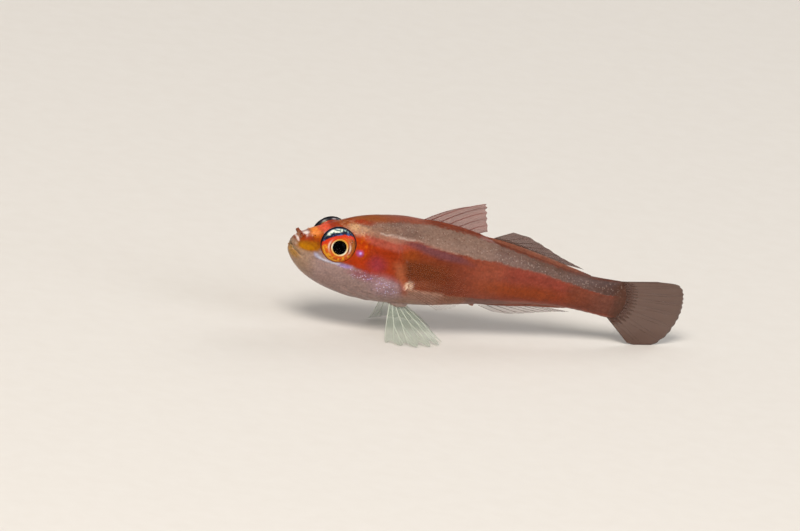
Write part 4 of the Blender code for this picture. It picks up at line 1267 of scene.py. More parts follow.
def paint_iris(tailward, up):
    """Colours of the iris by place, in shares of the eye's radius."""
    points = np.stack([tailward, up, 0 * up], axis=-1)
    from_middle = np.hypot(tailward, up)
    from_pupil = np.hypot(tailward - PUPIL_CENTRE[0], up - PUPIL_CENTRE[1])
    fine = unevenness(points, 0.09, 21)
    above = up - CRESCENT(tailward) + 0.02 * fine
    flecks = step_up(0.0, 0.5, unevenness(points, 0.13, 22))
    colour = np.repeat([linear("#dc6010")[:3]], len(up), axis=0)
    colour = painted(colour, "#a8581a", step_up(0.3, 0.8, tailward) * step_up(-0.6, 0.0, up))
    waves = step_up(0.1, 0.6, np.sin(2 * np.pi * from_middle / 0.11 + 2 * fine))
    behind_pupil = step_up(0.4, 0.7, tailward) * step_up(-0.8, -0.3, up)
    colour = painted(colour, "#5c2a14", 0.5 * waves * behind_pupil)
    colour = painted(colour, "#b8380c", 0.8 * near(from_middle - 0.86, 0.08) * step_up(-0.5, -0.85, up))
    dusky = step_up(0.4, 0.7, tailward) * step_up(-0.6, -0.2, up)
    colour = painted(colour, "#f0a41c", (1 - 0.8 * dusky) * flecks * near(from_middle - 0.8, 0.14)
                     * step_up(0.6, -0.2, up))
    colour = painted(colour, "#f2ac24", near(from_middle - 0.91, 0.05) * step_up(0.5, -0.2, up)
                     * step_up(0.5, -0.1, tailward))
    red_depth = np.interp(tailward, (-0.6, 0.3), (0.36, 0.2))
    colour = painted(colour, "#de3a16", step_up(-red_depth, -0.5 * red_depth, above))
    arcs = near(from_pupil - 0.625, 0.05) * near(np.abs(up + 0.12), 0.26)
    colour = painted(colour, "#f6d8c8", arcs)
    gaps = near(from_pupil - 0.545, 0.035) * near(np.abs(up + 0.16), 0.18)
    colour = painted(colour, "#3c2820", 0.95 * gaps)
    ring = step_up(0.51, 0.47, from_pupil)
    colour = painted(colour, "#f2b84a", ring)
    cream_ahead = near(up + 0.1, 0.22) * step_up(0, -0.2, tailward)
    cream_behind = near(np.hypot(tailward - 0.4, up + 0.42), 0.3)
    colour = painted(colour, "#fff6d8", ring * np.maximum(cream_ahead, cream_behind))
    crescent = step_up(-0.015, 0.02, above)
    colour = painted(colour, "#1c2238", crescent)
    # The silver patch in the crescent, with its white spots, is partly the eye's own silver and partly a
    # painted reflection.
    silver = step_up(0.945, 0.91, from_middle) * step_up(0.14, 0.24, above + 0.06 * fine)
    silver = silver * step_up(0.5, 0.3, tailward) * step_up(-0.9, -0.75, tailward)
    colour = painted(colour, "#9cc4b8", silver * (0.85 + 0.5 * fine))
    colour = painted(colour, "#f4fae8", silver * step_up(0.25, -0.1, tailward) * step_up(-0.5, 0.2, fine))
    blue = step_up(0.1, 0.5, fine) * crescent * (1 - silver)
    colour = painted(colour, "#4a68a0", 0.7 * blue)
    return painted(colour, "#14141c", step_up(0.955, 0.985, from_middle) * step_up(-0.5, 0.0, up))


def paint_rim(up):
    """The skin that borders the eye: black above it, and brown below."""
    colour = np.repeat([linear("#14131a")[:3]], len(up), axis=0)
    return painted(colour, "#6e3218", step_up(0.0, -0.6, up))


def paint_globe(tailward, up, out):
    """Colours of the eyeball behind the iris: dark skin with a silver and a yellow glint on top."""
    colour = np.repeat([linear("#15151e")[:3]], len(up), axis=0)
    colour = painted(colour, "#2c1c22", 0.8 * near(out + 0.22, 0.1) * step_up(0.3, 0.8, up))
    silver = near(tailward + 0.05, 0.1) * near(out + 0.12, 0.04) * step_up(0.5, 0.9, up)
    colour = painted(colour, "#c8bcc0", silver)
    yellow = near(tailward + 0.62, 0.12) * near(out + 0.25, 0.07) * step_up(0.2, 0.5, up)
    return painted(colour, "#a8982e", yellow)


print("the iris below the pupil is", np.round(paint_iris(np.array([0.0]), np.array([-0.75]))[0], 2))

# %% [markdown]
# ## What an eye is made of
#
# The iris is a layer of mirror cells behind coloured pigment, so it is fairly glossy and finely uneven. The
# lens is clear, but it looks black, because no light comes back out of the eye. Its own gloss is set very
# low, because the cornea in front of it already gives the highlights. The cornea is as clear as glass: its
# alpha, a plain number, lets nearly all light through, and only its sharp highlights show.

# %% The eye's materials
IRIS_GRAIN = 0.06
CORNEA_ALPHA = 0.06


def iris_material(name):
    """Mirror cells behind coloured pigment: a glossy, faintly fibrous disc."""
    material, tree = new_material(name)
    place = add_node(tree, "ShaderNodeTexCoord").outputs["Object"]
    colour = add_node(tree, "ShaderNodeAttribute", attribute_name="iris").outputs["Color"]
    grain, uneven = unevenly(tree, place, IRIS_GRAIN, 3.0, 0.18)
    colour = add_node(tree, "ShaderNodeVectorMath", {0: colour, "Scale": uneven},
                      operation="SCALE").outputs["Vector"]
    bump = add_node(tree, "ShaderNodeBump", {"Height": grain, "Strength": 0.3,
                                             "Distance": 0.01 * MM}).outputs["Normal"]
    shader = add_node(tree, "ShaderNodeBsdfPrincipled", {"Base Color": colour, "Roughness": 0.35,
                                                         "Normal": bump, "IOR": 1.34})
    add_node(tree, "ShaderNodeOutputMaterial", {"Surface": shader.outputs["BSDF"]})
    return material


def plain_glossy(name, code, roughness, ior, alpha=1.0):
    """One even colour with its gloss, for the lens and the cornea."""
    material, tree = new_material(name)
    shader = add_node(tree, "ShaderNodeBsdfPrincipled", {"Base Color": linear(code), "Roughness": roughness,
                                                         "Alpha": alpha, "IOR": ior})
    add_node(tree, "ShaderNodeOutputMaterial", {"Surface": shader.outputs["BSDF"]})
    return material


iris_finish = iris_material("iris_of_mirror_cells")
lens_finish = plain_glossy("black_eye_lens", "#030202", 0.2, 1.08)
cornea_finish = plain_glossy("clear_cornea", "#000000", 0.03, 1.38, CORNEA_ALPHA)
print("the cornea lets through", round(100 * (1 - CORNEA_ALPHA)), "% of the light")

# %% [markdown]
# ## The parts of an eye
#
# The eyeball is one closed loft. Its front is a domed disc, drawn in rings that start at the pupil's edge,
# so that the rings follow the pupil and the colours stay crisp there. A lens bulges a little through the
# hole, a thin clear shell closes the front, and a narrow ring of skin borders the eye. A plain ball with a
# picture would look flat from the side, while these parts shift against each other as a real eye's do.

# %% The eyeball, lens, cornea and rim
IRIS_DROP = 0.1
PUPIL_EDGE_DROP, PUPIL_WELL = 0.06, 0.25
LENS_RISE = 0.05
LENS_DEPTH = 0.3
LENS_OVERLAP = 0.02
CORNEA_GAP, CORNEA_THICKNESS = 0.01, 0.012
RIM_WIDTH = 0.036
RIM_GAP, RIM_LEVEL = 0.02, 0.06
RIM_STEPS, RIM_SIDES = 96, 8


def iris_mesh():
    """An eyeball in rings, whose front starts at the pupil's edge, and the front's flat places."""
    spokes = 2 * np.pi * np.arange(IRIS_SPOKES) / IRIS_SPOKES
    share = np.linspace(0, 1, IRIS_RINGS)[:, None]
    rim = np.stack([np.cos(spokes), np.sin(spokes)], axis=-1)
    inner = np.array(PUPIL_CENTRE) + PUPIL_SHARE * rim
    flat = inner[None] * (1 - share[..., None]) + rim[None] * share[..., None]
    from_middle = np.clip(np.linalg.norm(flat, axis=-1), 0, 1)
    height = (EYE_FRONT - IRIS_DROP) * np.sqrt(1 - from_middle ** 2 * 0.999)
    height -= PUPIL_EDGE_DROP * near(share, 0.06)
    front = np.concatenate([flat * EYE_RADIUS, height[..., None]], axis=-1)
    angles = np.linspace(0.1, np.pi / 2 - 0.02, 16)[:, None]
    girth = EYE_RADIUS * np.cos(angles)
    depth = -EYE_BACK * np.sin(angles) + 0 * spokes
    rear = np.stack([girth * rim[None, :, 0], girth * rim[None, :, 1], depth], axis=-1)
    well = front[:1] - (0, 0, PUPIL_WELL)
    return np.concatenate([well, front, rear]), flat


def lens_mesh():
    """A ball behind the pupil that bulges a little through it."""
    radius = PUPIL_SHARE * EYE_RADIUS + LENS_OVERLAP
    depth = EYE_FRONT - IRIS_DROP - LENS_DEPTH
    middle = (PUPIL_CENTRE[0] * EYE_RADIUS, PUPIL_CENTRE[1] * EYE_RADIUS, depth)
    return ball(middle, (radius, radius, LENS_DEPTH + LENS_RISE), None, 40)


def cornea_mesh(side):
    """A thin clear shell in front of the iris."""
    angles = np.linspace(np.pi / 2 - 0.01, 0.0, 30)
    dome = np.stack([(EYE_RADIUS + CORNEA_GAP) * np.cos(angles), EYE_FRONT * np.sin(angles)], axis=-1)
    shell = np.concatenate([dome, (dome - CORNEA_THICKNESS)[::-1]])
    return turned(shell, side, 64)


def rim_mesh():
    """A ring round the eye, as an array of points, and its faces."""
    circle = 2 * np.pi * np.arange(RIM_STEPS) / RIM_STEPS
    tilt = 2 * np.pi * np.arange(RIM_SIDES) / RIM_SIDES
    out = np.stack([np.cos(circle), np.sin(circle), 0 * circle], axis=-1)[:, None]
    path = (EYE_RADIUS + RIM_GAP) * out + np.array([0, 0, RIM_LEVEL])
    ring = path + RIM_WIDTH * (np.cos(tilt)[:, None] * out + np.sin(tilt)[:, None] * np.array([0, 0, 1]))
    index = np.arange(RIM_STEPS * RIM_SIDES).reshape(-1, RIM_SIDES)
    right, down = np.roll(index, -1, axis=1), np.roll(index, -1, axis=0)
    faces = np.stack([index, right, np.roll(right, -1, axis=0), down], axis=-1).reshape(-1, 4)
    return ring.reshape(-1, 3), faces.tolist()


print("the rim of an eye has", len(rim_mesh()[1]), "faces")

# %% [markdown]
# ## Set both eyes in the head
#
# Each part is drawn as if one looked straight into the eye, turned to the way the eye looks, and set in its
# hollow. The eyeball stands for the frame's eye. The other parts ride on the fish with it.

# %% Both eyes


def eye_piece(name, points, faces, material):
    """One part of an eye as a finished piece."""
    obj = mesh_object(name, in_frame(points), faces)
    obj.data.materials.append(material)
    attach(obj, "root")
    return obj


for name, side in (("left", -1), ("right", 1)):
    axes, place = eye_axes(side), eye_place(side)
    rings, flat = iris_mesh()
    globe_points, globe_faces = loft(rings @ axes.T + place)
    globe = eye_piece(f"eye_{name}_iris", globe_points, globe_faces, iris_finish)
    colours = paint_globe(*(rings.reshape(-1, 3).T / EYE_RADIUS))
    start = rings.shape[1]
    tailward, up = flat.reshape(-1, 2).T
    colours[start:start + len(up)] = paint_iris(tailward, up)
    store_colours(globe, "iris", colours)
    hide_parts(f"eye_{name}")
    lens_points, lens_faces = lens_mesh()
    eye_piece(f"eye_{name}_lens", lens_points @ axes.T + place, lens_faces, lens_finish)
    eye_piece(f"eye_{name}_cornea", *cornea_mesh(side), cornea_finish)
    rim_points, rim_faces = rim_mesh()
    rim = eye_piece(f"eye_{name}_rim", rim_points @ axes.T + place, rim_faces, iris_finish)
    store_colours(rim, "iris", paint_rim(rim_points[:, 1] / EYE_RADIUS))
print("each eye is", 2 * EYE_RADIUS, "mm across")

# %% [markdown]
# ## Fins as surfaces
#
# Every fin is a fan of rays with a thin skin between them. Each could be drawn as a flat outline, but the
# rays would then have to be fitted to it. If the fin is written as one surface, with one number that runs
# from its first ray to its last and another that runs from root to tip, then the rays, their branches and
# the membrane can all be read from it.

# %% The fins of the middle plane
FIN_LEAN = 0.03


def along_ray(root, direction, length, sag, t):
    """A point on a ray: straight along its direction, and bent towards sag at its tip."""
    length, t = np.asarray(length)[..., None], np.asarray(t)[..., None]
    return root + direction * length * t + sag * length * t * t


def median_surface(root_x, length, slant, root_level, arch):
    """A fin on the middle plane, whose rays rise by slant degrees and arch towards the tail."""
    def surface(share, t):
        x, angle = root_x(share), np.radians(slant(share))
        root = np.stack([x, 0 * x, root_level(x)], axis=-1)
        direction = np.stack([np.cos(angle), 0 * angle, np.sin(angle) + arch], axis=-1)
        return along_ray(root, direction, length(share), np.array([0, FIN_LEAN, -arch]), t)
    return surface


# For each fin: where its rays stand, how long they are, how they slant, the level of their roots, the arch
front_dorsal = median_surface(
    curve_through([(0, 9.4), (0.17, 10.0), (0.33, 10.7), (0.5, 11.4), (0.67, 12.15), (0.83, 12.95),
                   (1, 13.75)]),
    curve_through([(0, 3.6), (0.17, 4.2), (0.33, 3.6), (0.5, 2.9), (0.67, 2.18), (0.83, 1.42), (1, 0.66)]),
    curve_through([(0, 26), (0.17, 26.2), (0.33, 27), (0.67, 26), (0.83, 24), (1, 20)]),
    lambda x: back(x) + 0.1 - 0.15 * step_up(10.2, 9.3, x), 0.2)
rear_dorsal = median_surface(
    lambda share: 14.9 + 5.6 * share,
    curve_through([(0, 1.6), (0.13, 2.2), (0.5, 2.5), (0.85, 2.2), (1, 1.9)]),
    curve_through([(0, 26), (0.13, 15), (0.25, 7), (0.38, 2), (0.5, -2), (0.7, -5), (1, -7)]),
    lambda x: back(x) + 0.08 + 0.14 * step_up(14.9, 16.4, x), 0.04)
anal = median_surface(
    lambda share: 15.1 + 5.2 * share,
    curve_through([(0, 1.3), (0.15, 2.0), (0.5, 2.3), (0.85, 2.1), (1, 1.8)]),
    curve_through([(0, -14), (0.4, -6), (1, -3)]),
    lambda x: belly(x) - 0.18, -0.04)
ends = front_dorsal(np.array([0.17, 0.17]), np.array([0.0, 1.0]))
longest = float(np.linalg.norm(ends[1] - ends[0]))
print("the front dorsal fin's longest ray is", round(longest, 1), "mm long")

# %% [markdown]
# ## The tail fin
#
# The tail fin's rays fan from the end of the tail, from a little upwards to well down, where the lower
# ones rest on the ground. Two curves give each ray's angle and length, so the fin's outline is whatever
# the rays reach, as it is on the fish.

# %% The tail fin's surface
CAUDAL_OVERLAP = 0.25
CAUDAL_BULGE = 0.28
CAUDAL_ROOT_X, CAUDAL_ROOT_TOP, CAUDAL_ROOT_DEPTH = 25.05, 1.36, 2.68
CAUDAL_ANGLE = curve_through([(0, 7), (0.1, 7.5), (0.25, 3.6), (0.4, -0.5), (0.5, -4), (0.6, -9),
                              (0.7, -15.6), (0.8, -23.4), (0.9, -32), (1, -39)])
CAUDAL_LENGTH = curve_through([(0, 3.1), (0.1, 4.8), (0.25, 5.5), (0.5, 5.7), (0.7, 5.4), (0.8, 4.95),
                               (0.9, 4.15), (1, 2.6)])


def caudal(share, t):
    """The tail fin: rays that fan from the end of the tail, starting just inside the skin."""
    bulge = CAUDAL_BULGE * np.sin(np.pi * share)
    angle = np.radians(CAUDAL_ANGLE(share))
    root_level = CAUDAL_ROOT_TOP - CAUDAL_ROOT_DEPTH * share
    root = np.stack([CAUDAL_ROOT_X + bulge, 0 * share, root_level], axis=-1)
    direction = np.stack([np.cos(angle), 0 * angle, np.sin(angle)], axis=-1)
    sag = np.stack([0 * share, 0.06 * share, 0 * share], axis=-1)
    return along_ray(root, direction, CAUDAL_LENGTH(share) + CAUDAL_OVERLAP - bulge, sag, t)


print("the tail fin's middle ray is", round(float(CAUDAL_LENGTH(0.5)), 1), "mm long")

# %% [markdown]
# ## The side fins and the belly fins
#
# The side fins stand on fleshy lobes behind the gills, and are folded back along the flank. The belly fins
# carry the fish. Their rays come down steeply, bend at a knee and lie out flat on the ground, so each is
# drawn as a curve through three points: root, knee and tip. Straight rays would stab into the floor.

# %% The surfaces of the paired fins
PECTORAL_FLARE = math.radians(17)
PECTORAL_CURL = 0.16
PECTORAL_LENGTH = curve_through([(0, 3.2), (0.2, 4.4), (0.45, 4.9), (0.7, 4.3), (1, 2.9)])


def pectoral_surface(side):
    """A side fin, folded back along the flank, which it leaves at a small angle."""
    def surface(share, t):
        (x0, z0), (x1, z1) = PECTORAL_ROOT
        x, z = x0 + (x1 - x0) * share, z0 + (z1 - z0) * share
        angle = np.radians(6 - 28 * share)
        root = np.stack([x, side * (breadth(x, z) + 0.02 + 0.06 * np.sin(np.pi * share)), z], axis=-1)
        out = side * math.sin(PECTORAL_FLARE) + 0 * angle
        direction = np.stack([np.cos(angle), out, np.sin(angle)], axis=-1)
        direction /= np.linalg.norm(direction, axis=-1, keepdims=True)
        curl = np.array([0, -side * PECTORAL_CURL, 0])
        return along_ray(root, direction, PECTORAL_LENGTH(share), curl, t)
    return surface


TAIL_TOUCH = (28.4, -3.19)
PELVIC_SINK = 0.12
TIP_OVER_FLOOR = 0.09
KNEE_OVER_FLOOR, KNEE_UNDER_ROOT = 0.24, 0.4
KNEE_REACH, KNEE_RISE = 0.45, 0.8
PELVIC_HEADING = curve_through([(0, 94), (0.25, 72), (0.5, 53), (0.75, 36), (1, 22)])
PELVIC_REACH = curve_through([(0, 1.7), (0.25, 2.6), (0.5, 3.2), (0.75, 3.5), (1, 3.3)])


def floor_level(x):
    """The floor's level under the straight fish."""
    return TAIL_TOUCH[1] + math.tan(PITCH) * (x - TAIL_TOUCH[0])


def pelvic_surface(side):
    """A belly fin, spread on the floor. Its first ray reaches out sideways and its last one backwards."""
    (x0, x1), (y0, y1) = PELVIC_ROOT_X, PELVIC_ROOT_Y
    shares = (0, 0.5, 1)
    levels = [level_at(x0 + (x1 - x0) * s, y0 + (y1 - y0) * s, False) for s in shares]

    def surface(share, t):
        level = np.interp(share, shares, levels)
        x, y = x0 + (x1 - x0) * share, y0 + (y1 - y0) * share
        root = np.stack([x, side * y, level - PELVIC_SINK], axis=-1)
        heading, reach = np.radians(PELVIC_HEADING(share)), PELVIC_REACH(share)
        away = np.stack([np.cos(heading), side * np.sin(heading), 0 * heading], axis=-1)
        tip = root + away * reach[..., None]
        tip[..., 2] = floor_level(tip[..., 0]) + TIP_OVER_FLOOR
        knee = root + away * (reach * KNEE_REACH)[..., None]
        low, high = floor_level(knee[..., 0]) + KNEE_OVER_FLOOR, root[..., 2] - KNEE_UNDER_ROOT
        knee[..., 2] = low + (high - low) * KNEE_RISE * share
        t = np.asarray(t)[..., None]
        return root * (1 - t) ** 2 + knee * 2 * t * (1 - t) + tip * t * t
    return surface


print("under the belly fins the floor is", round(-floor_level(9.0), 2), "mm below the snout's level")

# %% [markdown]
# ## Membranes and rays
#
# The membrane is a sheet about as thin as a plastic bag, closed all round and thinnest at its free edge.
# The edge dips between the rays, and the sheet waves a little from ray to ray. A single face with no
# thickness would be quicker, but a closed sheet is a solid thing, as the real one is.

# %% Make a membrane
MEMBRANE_THICKNESS = 0.03
ROOT_THICKER = 1.6
STEPS_BETWEEN_RAYS = 6
STEPS_ALONG = 30


def membrane(surface, rays, notch, fold, reach=1.0, thick=1.0):
    """A thin closed sheet over the fin as far as reach, as (points, faces)."""
    columns = (rays - 1) * STEPS_BETWEEN_RAYS + 1
    share = np.linspace(0, 1, columns)[:, None]
    between = np.sin(np.pi * share * (rays - 1)) ** 2
    t = np.linspace(0, 1, STEPS_ALONG)[None, :] * (1 - notch * between) * reach
    share = share + 0 * t
    sheet = surface(share, t)
    normal = np.cross(np.gradient(sheet, axis=1), np.gradient(sheet, axis=0))
    normal /= np.linalg.norm(normal, axis=-1, keepdims=True)
    wave = fold * np.sin(2 * np.pi * share * (rays - 1) / 2) * step_up(0, 0.5, t)
    sheet = sheet + normal * wave[..., None]
    half = thick * MEMBRANE_THICKNESS / 2 * (ROOT_THICKER - t)[..., None]
    return closed_plate(sheet + normal * half, sheet - normal * half)


test_sheet = membrane(front_dorsal, 7, 0.05, 0.04)
print("the front dorsal fin's membrane has", len(test_sheet[1]), "faces")

# %% [markdown]
# ## Rays
#
# A spine is one smooth, stiff rod. A soft ray is a stack of short segments that splits in two, and on most
# fins splits again, before the edge, so its tip ends in a small brush. Lines in the membrane's colour could
# stand for them, but rods catch the light and show in the outline of the fin.

# %% Make a fin's rays
RAY_SEGMENT = 0.16
JOINT_WAIST = 0.9
SPINE_TIP = 0.3
BRANCH_THICKNESS, BRANCH_TAPER, LAST_TAPER = 0.72, 0.75, 0.35
BRANCH_SPREAD, SPREAD_SHRINK, SPLIT_LENGTH = 0.24, 1.9, 0.35


def rod(surface, share_of, t_from, t_to, radius_from, radius_to, reference, length, segmented):
    """A ray or one branch of it, along the fin's surface."""
    steps = max(int(length * (t_to - t_from) / RAY_SEGMENT * 2), 8)
    t = np.linspace(t_from, t_to, steps)
    path = surface(share_of(t), t)
    radius = radius_from + (radius_to - radius_from) * np.linspace(0, 1, steps)
    if segmented:
        radius = radius * np.where(np.arange(steps) % 2 == 0, 1.0, JOINT_WAIST)
    return tube(path, radius, 6, reference)


def soft_ray(surface, share, spacing, length, radius, reference, splits):
    """A ray that splits at each share of its length given by splits."""
    parts = []

    def grow_branch(offset, t_from, level):
        last = level == len(splits)
        t_to = 1.0 if last else splits[level]
        thick = radius * BRANCH_THICKNESS ** level
        thin = thick * (LAST_TAPER if last else BRANCH_TAPER)

        def aim(t):
            return np.clip(share + offset(t), 0, 1)

        parts.append(rod(surface, aim, t_from, t_to, thick, thin, reference, length, True))
        if not last:
            gap = BRANCH_SPREAD * spacing / SPREAD_SHRINK ** level
            for way in (-1, 1):
                part = lambda t, way=way: offset(t_to) + way * gap * step_up(t_to, t_to + SPLIT_LENGTH, t)
                grow_branch(part, t_to, level + 1)

    grow_branch(lambda t: 0 * t, 0.0, 0)
    return parts


def fin_rays(surface, count, spines, radius, reference, splits=(0.42, 0.7)):
    """All rays of a fin. The first ones are spines."""
    parts = []
    for i in range(count):
        share = i / (count - 1)
        ends = surface(np.array([share, share]), np.array([0.0, 1.0]))
        length = float(np.linalg.norm(ends[1] - ends[0]))
        if i < spines:
            parts.append(rod(surface, lambda t: share + 0 * t, 0, 1, radius, radius * SPINE_TIP, reference,
                             length, False))
        else:
            parts += soft_ray(surface, share, 1 / (count - 1), length, radius, reference, splits)
    return joined(parts)


test_rays = fin_rays(front_dorsal, 7, 7, 0.035, (0, 1, 0))
print("the front dorsal fin's spines have", len(test_rays[1]), "faces")

# %% [markdown]
# ## Fin materials
#
# Fin membrane is living skin thinner than paper. It lets light through and is tinted by scattered pigment
# cells. The rays are bone under the same skin: denser, most of them darker, and a little glossy when wet.
# Alpha gives the clearness as a plain number, so that it stays the same wherever the model is shown. A
# glass shader would bend the light as thick glass does, and a sheet this thin hardly bends it.

# %% Membrane and ray materials
FIN_PATCH = 0.9


def fin_finish(name, code, dot_code, alpha, dot_size=0.2, dot_share=1.0, ior=1.38):
    """Skin or bone of a fin, with fine dots of pigment that come and go in patches."""
    material, tree = new_material(name)
    place = add_node(tree, "ShaderNodeTexCoord").outputs["Object"]
    cells = add_node(tree, "ShaderNodeTexVoronoi", {"Vector": place, "Scale": per_metre(dot_size)})
    dots = add_node(tree, "ShaderNodeMapRange", {"Value": cells.outputs["Distance"], "From Min": 0.32,
                                                 "From Max": 0.12}).outputs["Result"]
    patch = add_node(tree, "ShaderNodeTexNoise", {"Vector": place, "Scale": per_metre(FIN_PATCH),
                                                  "Detail": 3.0})
    amount = add_node(tree, "ShaderNodeMath", {0: dots, 1: dot_share}, operation="MULTIPLY")
    amount = add_node(tree, "ShaderNodeMath", {0: amount.outputs["Value"], 1: patch.outputs["Fac"]},
                      operation="MULTIPLY")
    colour = add_node(tree, "ShaderNodeMix", {"Factor": amount.outputs["Value"], "A": linear(code),
                                              "B": linear(dot_code)}, data_type="RGBA").outputs["Result"]
    bump = add_node(tree, "ShaderNodeBump", {"Height": patch.outputs["Fac"], "Strength": 0.2,
                                             "Distance": 0.02 * MM}).outputs["Normal"]
    shader = add_node(tree, "ShaderNodeBsdfPrincipled", {"Base Color": colour, "Roughness": 0.3,
                                                         "Alpha": alpha, "IOR": ior, "Normal": bump})
    add_node(tree, "ShaderNodeOutputMaterial", {"Surface": shader.outputs["BSDF"]})
    return material


pink_film = fin_finish("pink_fin_membrane", "#8c564c", "#6c3a34", 0.55, 0.2, 0.5)
smoky_film = fin_finish("smoky_fin_membrane", "#5e3a2f", "#46281f", 0.66, 0.2, 0.5)
belly_film = fin_finish("clear_rear_fin_membrane", "#744a3a", "#4c2c24", 0.22, 0.2, 0.5)
brown_film = fin_finish("brown_tail_membrane", "#654a3e", "#463028", 0.78, 0.16, 0.4)
clear_film = fin_finish("clear_side_fin_membrane", "#7d452e", "#6c3822", 0.06, 0.3, 0.3, 1.1)
green_film = fin_finish("greenish_belly_fin_membrane", "#9fae9a", "#d4d8c6", 0.22, 0.3)
flesh_sheath = fin_finish("flesh_over_the_fin_roots", "#5e4035", "#4c3028", 0.5, 0.16, 0.4)
red_ray = fin_finish("red_brown_fin_ray", "#6c3a34", "#5a2c28", 1.0, dot_share=0.2)
brown_ray = fin_finish("brown_fin_ray", "#52352b", "#46302a", 0.5, dot_share=0.2)
belly_ray = fin_finish("clear_rear_fin_ray", "#6c4a3c", "#5a3a30", 0.3, dot_share=0.2)
clear_ray = fin_finish("clear_fin_ray", "#8a4c32", "#7c4a38", 0.09, dot_share=0.2, ior=1.1)
white_ray = fin_finish("white_fin_ray", "#dce0d2", "#eeeee4", 0.7, dot_share=0.2)
print("the model has", len(bpy.data.materials), "materials so far")

# %% [markdown]
# ## Put the fins on the fish
#
# The two dorsal fins, the anal fin, the tail fin and the pairs of side and belly fins are all made by one
# function from their surfaces. The membrane stands for the frame's fin, and the rays ride on it. Where the
# tail fin and the rear dorsal fin meet the body, scaly flesh runs out over the rays. It is made of the same
# kind of sheet as the membrane, only thicker and shorter.

# %% All fins


def on_floor(points):
    """Points in the frame, of which none lies under the floor."""
    placed = in_frame(points)
    placed[:, 2] = np.maximum(placed[:, 2], 0)
    return placed


def add_fin(name, node, surface, rays, spines, radius, membrane_finish, ray_finish, notch=0.05, fold=0.02,
            reference=(0, 1, 0), splits=(0.42, 0.7)):
    """One fin as two pieces: the membrane stands for the frame's fin, and the rays ride on it."""
    points, faces = membrane(surface, rays, notch, fold)
    sheet = mesh_object(f"{name}_membrane", on_floor(points), faces)
    sheet.data.materials.append(membrane_finish)
    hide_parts(node)
    points, faces = fin_rays(surface, rays, spines, radius, reference, splits)
    bones = mesh_object(f"{name}_rays", on_floor(points), faces)
    bones.data.materials.append(ray_finish)
    for piece in (sheet, bones):
        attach(piece, "root")
    print(name, "has", rays, "rays of", len(bones.data.polygons), "faces")


def add_sheath(name, surface, rays, reach, notch, thick):
    """Flesh that runs out over the roots of a fin, thicker than its membrane."""
    points, faces = membrane(surface, rays, notch, 0, reach, thick)
    sheath = mesh_object(name, on_floor(points), faces)
    sheath.data.materials.append(flesh_sheath)
    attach(sheath, "root")


add_fin("dorsal_front", "dorsal_fin_front", front_dorsal, 7, 7, 0.035, pink_film, red_ray, 0.05, 0.04)
add_fin("dorsal_rear", "dorsal_fin_rear", rear_dorsal, 9, 1, 0.03, smoky_film, brown_ray, 0.04, 0.015,
        splits=(0.6,))
add_fin("anal", "anal_fin", anal, 9, 1, 0.03, belly_film, belly_ray, 0.04, 0.015, splits=(0.6,))
add_fin("caudal", "caudal_fin", caudal, 17, 0, 0.03, brown_film, brown_ray, 0.015, 0.008,
        splits=(0.3, 0.6))
for name, side in (("left", -1), ("right", 1)):
    add_fin(f"pectoral_{name}", f"pectoral_fin_{name}", pectoral_surface(side), 16, 0, 0.025, clear_film,
            clear_ray, 0.03, 0.008, splits=(0.55,))
    add_fin(f"pelvic_{name}", f"pelvic_fin_{name}", pelvic_surface(side), 6, 1, 0.04, green_film,
            white_ray, 0.15, 0.02, reference=(0, 0, 1), splits=(0.35, 0.62))
add_sheath("caudal_sheath", caudal, 17, 0.34, 0.3, 1.35)
add_sheath("caudal_inner_sheath", caudal, 17, 0.22, 0.3, 1.9)
add_sheath("dorsal_rear_sheath", rear_dorsal, 9, 0.24, 0.25, 1.4)

# %% [markdown]
# ## The stage
#
# The fish stands on a large sheet of pale card. It reaches far behind the fish, so no edge shows. Card is
# matt and faintly fibrous, so it takes soft shadows and gives no highlights of its own that would draw the
# eye from the fish.

# %% The floor
FLOOR_SIZE = 6.0
CARD_FIBRE = 1.5


def matt_board(name):
    """Uncoated card, with fibres that make it faintly uneven."""
    material, tree = new_material(name)
    place = add_node(tree, "ShaderNodeTexCoord").outputs["Object"]
    fibre = add_node(tree, "ShaderNodeTexNoise", {"Vector": place, "Scale": per_metre(CARD_FIBRE),
                                                  "Detail": 5.0})
    colour = add_node(tree, "ShaderNodeMix", {"Factor": fibre.outputs["Fac"], "A": linear("#d9d4cd"),
                                              "B": linear("#dedad4")}, data_type="RGBA").outputs["Result"]
    shader = add_node(tree, "ShaderNodeBsdfPrincipled", {"Base Color": colour, "Roughness": 0.8,
                                                         "Specular IOR Level": 0.2})
    add_node(tree, "ShaderNodeOutputMaterial", {"Surface": shader.outputs["BSDF"]})
    return material


half = FLOOR_SIZE / 2
corners = [(-half, -half, 0), (half, -half, 0), (half, half, 0), (-half, half, 0)]
floor = mesh_object("floor", corners, [[0, 1, 2, 3]])
floor.data.materials.append(matt_board("matt_pale_board"))
print("the floor is", FLOOR_SIZE, "m across")

# %% [markdown]
# ## Light
#
# A large soft lamp stands above the fish, on the camera's side and a little ahead. Its mirror image would
# lie across the snout as one broad pale patch, so it gives light but no highlight. A small lamp above the
# head gives nothing but highlights. On the snout it adds to the small bright spots, which are painted
# highlights in the skin's colour. A weaker lamp fills from the tail's side, another from behind draws a
# soft edge along the back, and a pale sky lights all of it evenly.

# %% Lamps and sky
SKY_COLOUR, SKY_STRENGTH = "#f2f1ef", 0.42


def soft_lamp(name, place, size, power, colour, diffuse=True, glossy=True):
    """A round soft lamp that looks at the fish, and gives plain light, highlights or both."""
    lamp = bpy.data.lights.new(name, "AREA")
    lamp.shape, lamp.size, lamp.energy, lamp.color = "DISK", size, power, linear(colour)[:3]
    obj = bpy.data.objects.new(name, lamp)
    obj.location = place
    obj.rotation_mode = "QUATERNION"
    obj.rotation_quaternion = (-Vector(place)).to_track_quat("-Z", "Y")
    obj.visible_diffuse, obj.visible_glossy = diffuse, glossy
    bpy.context.scene.collection.objects.link(obj)


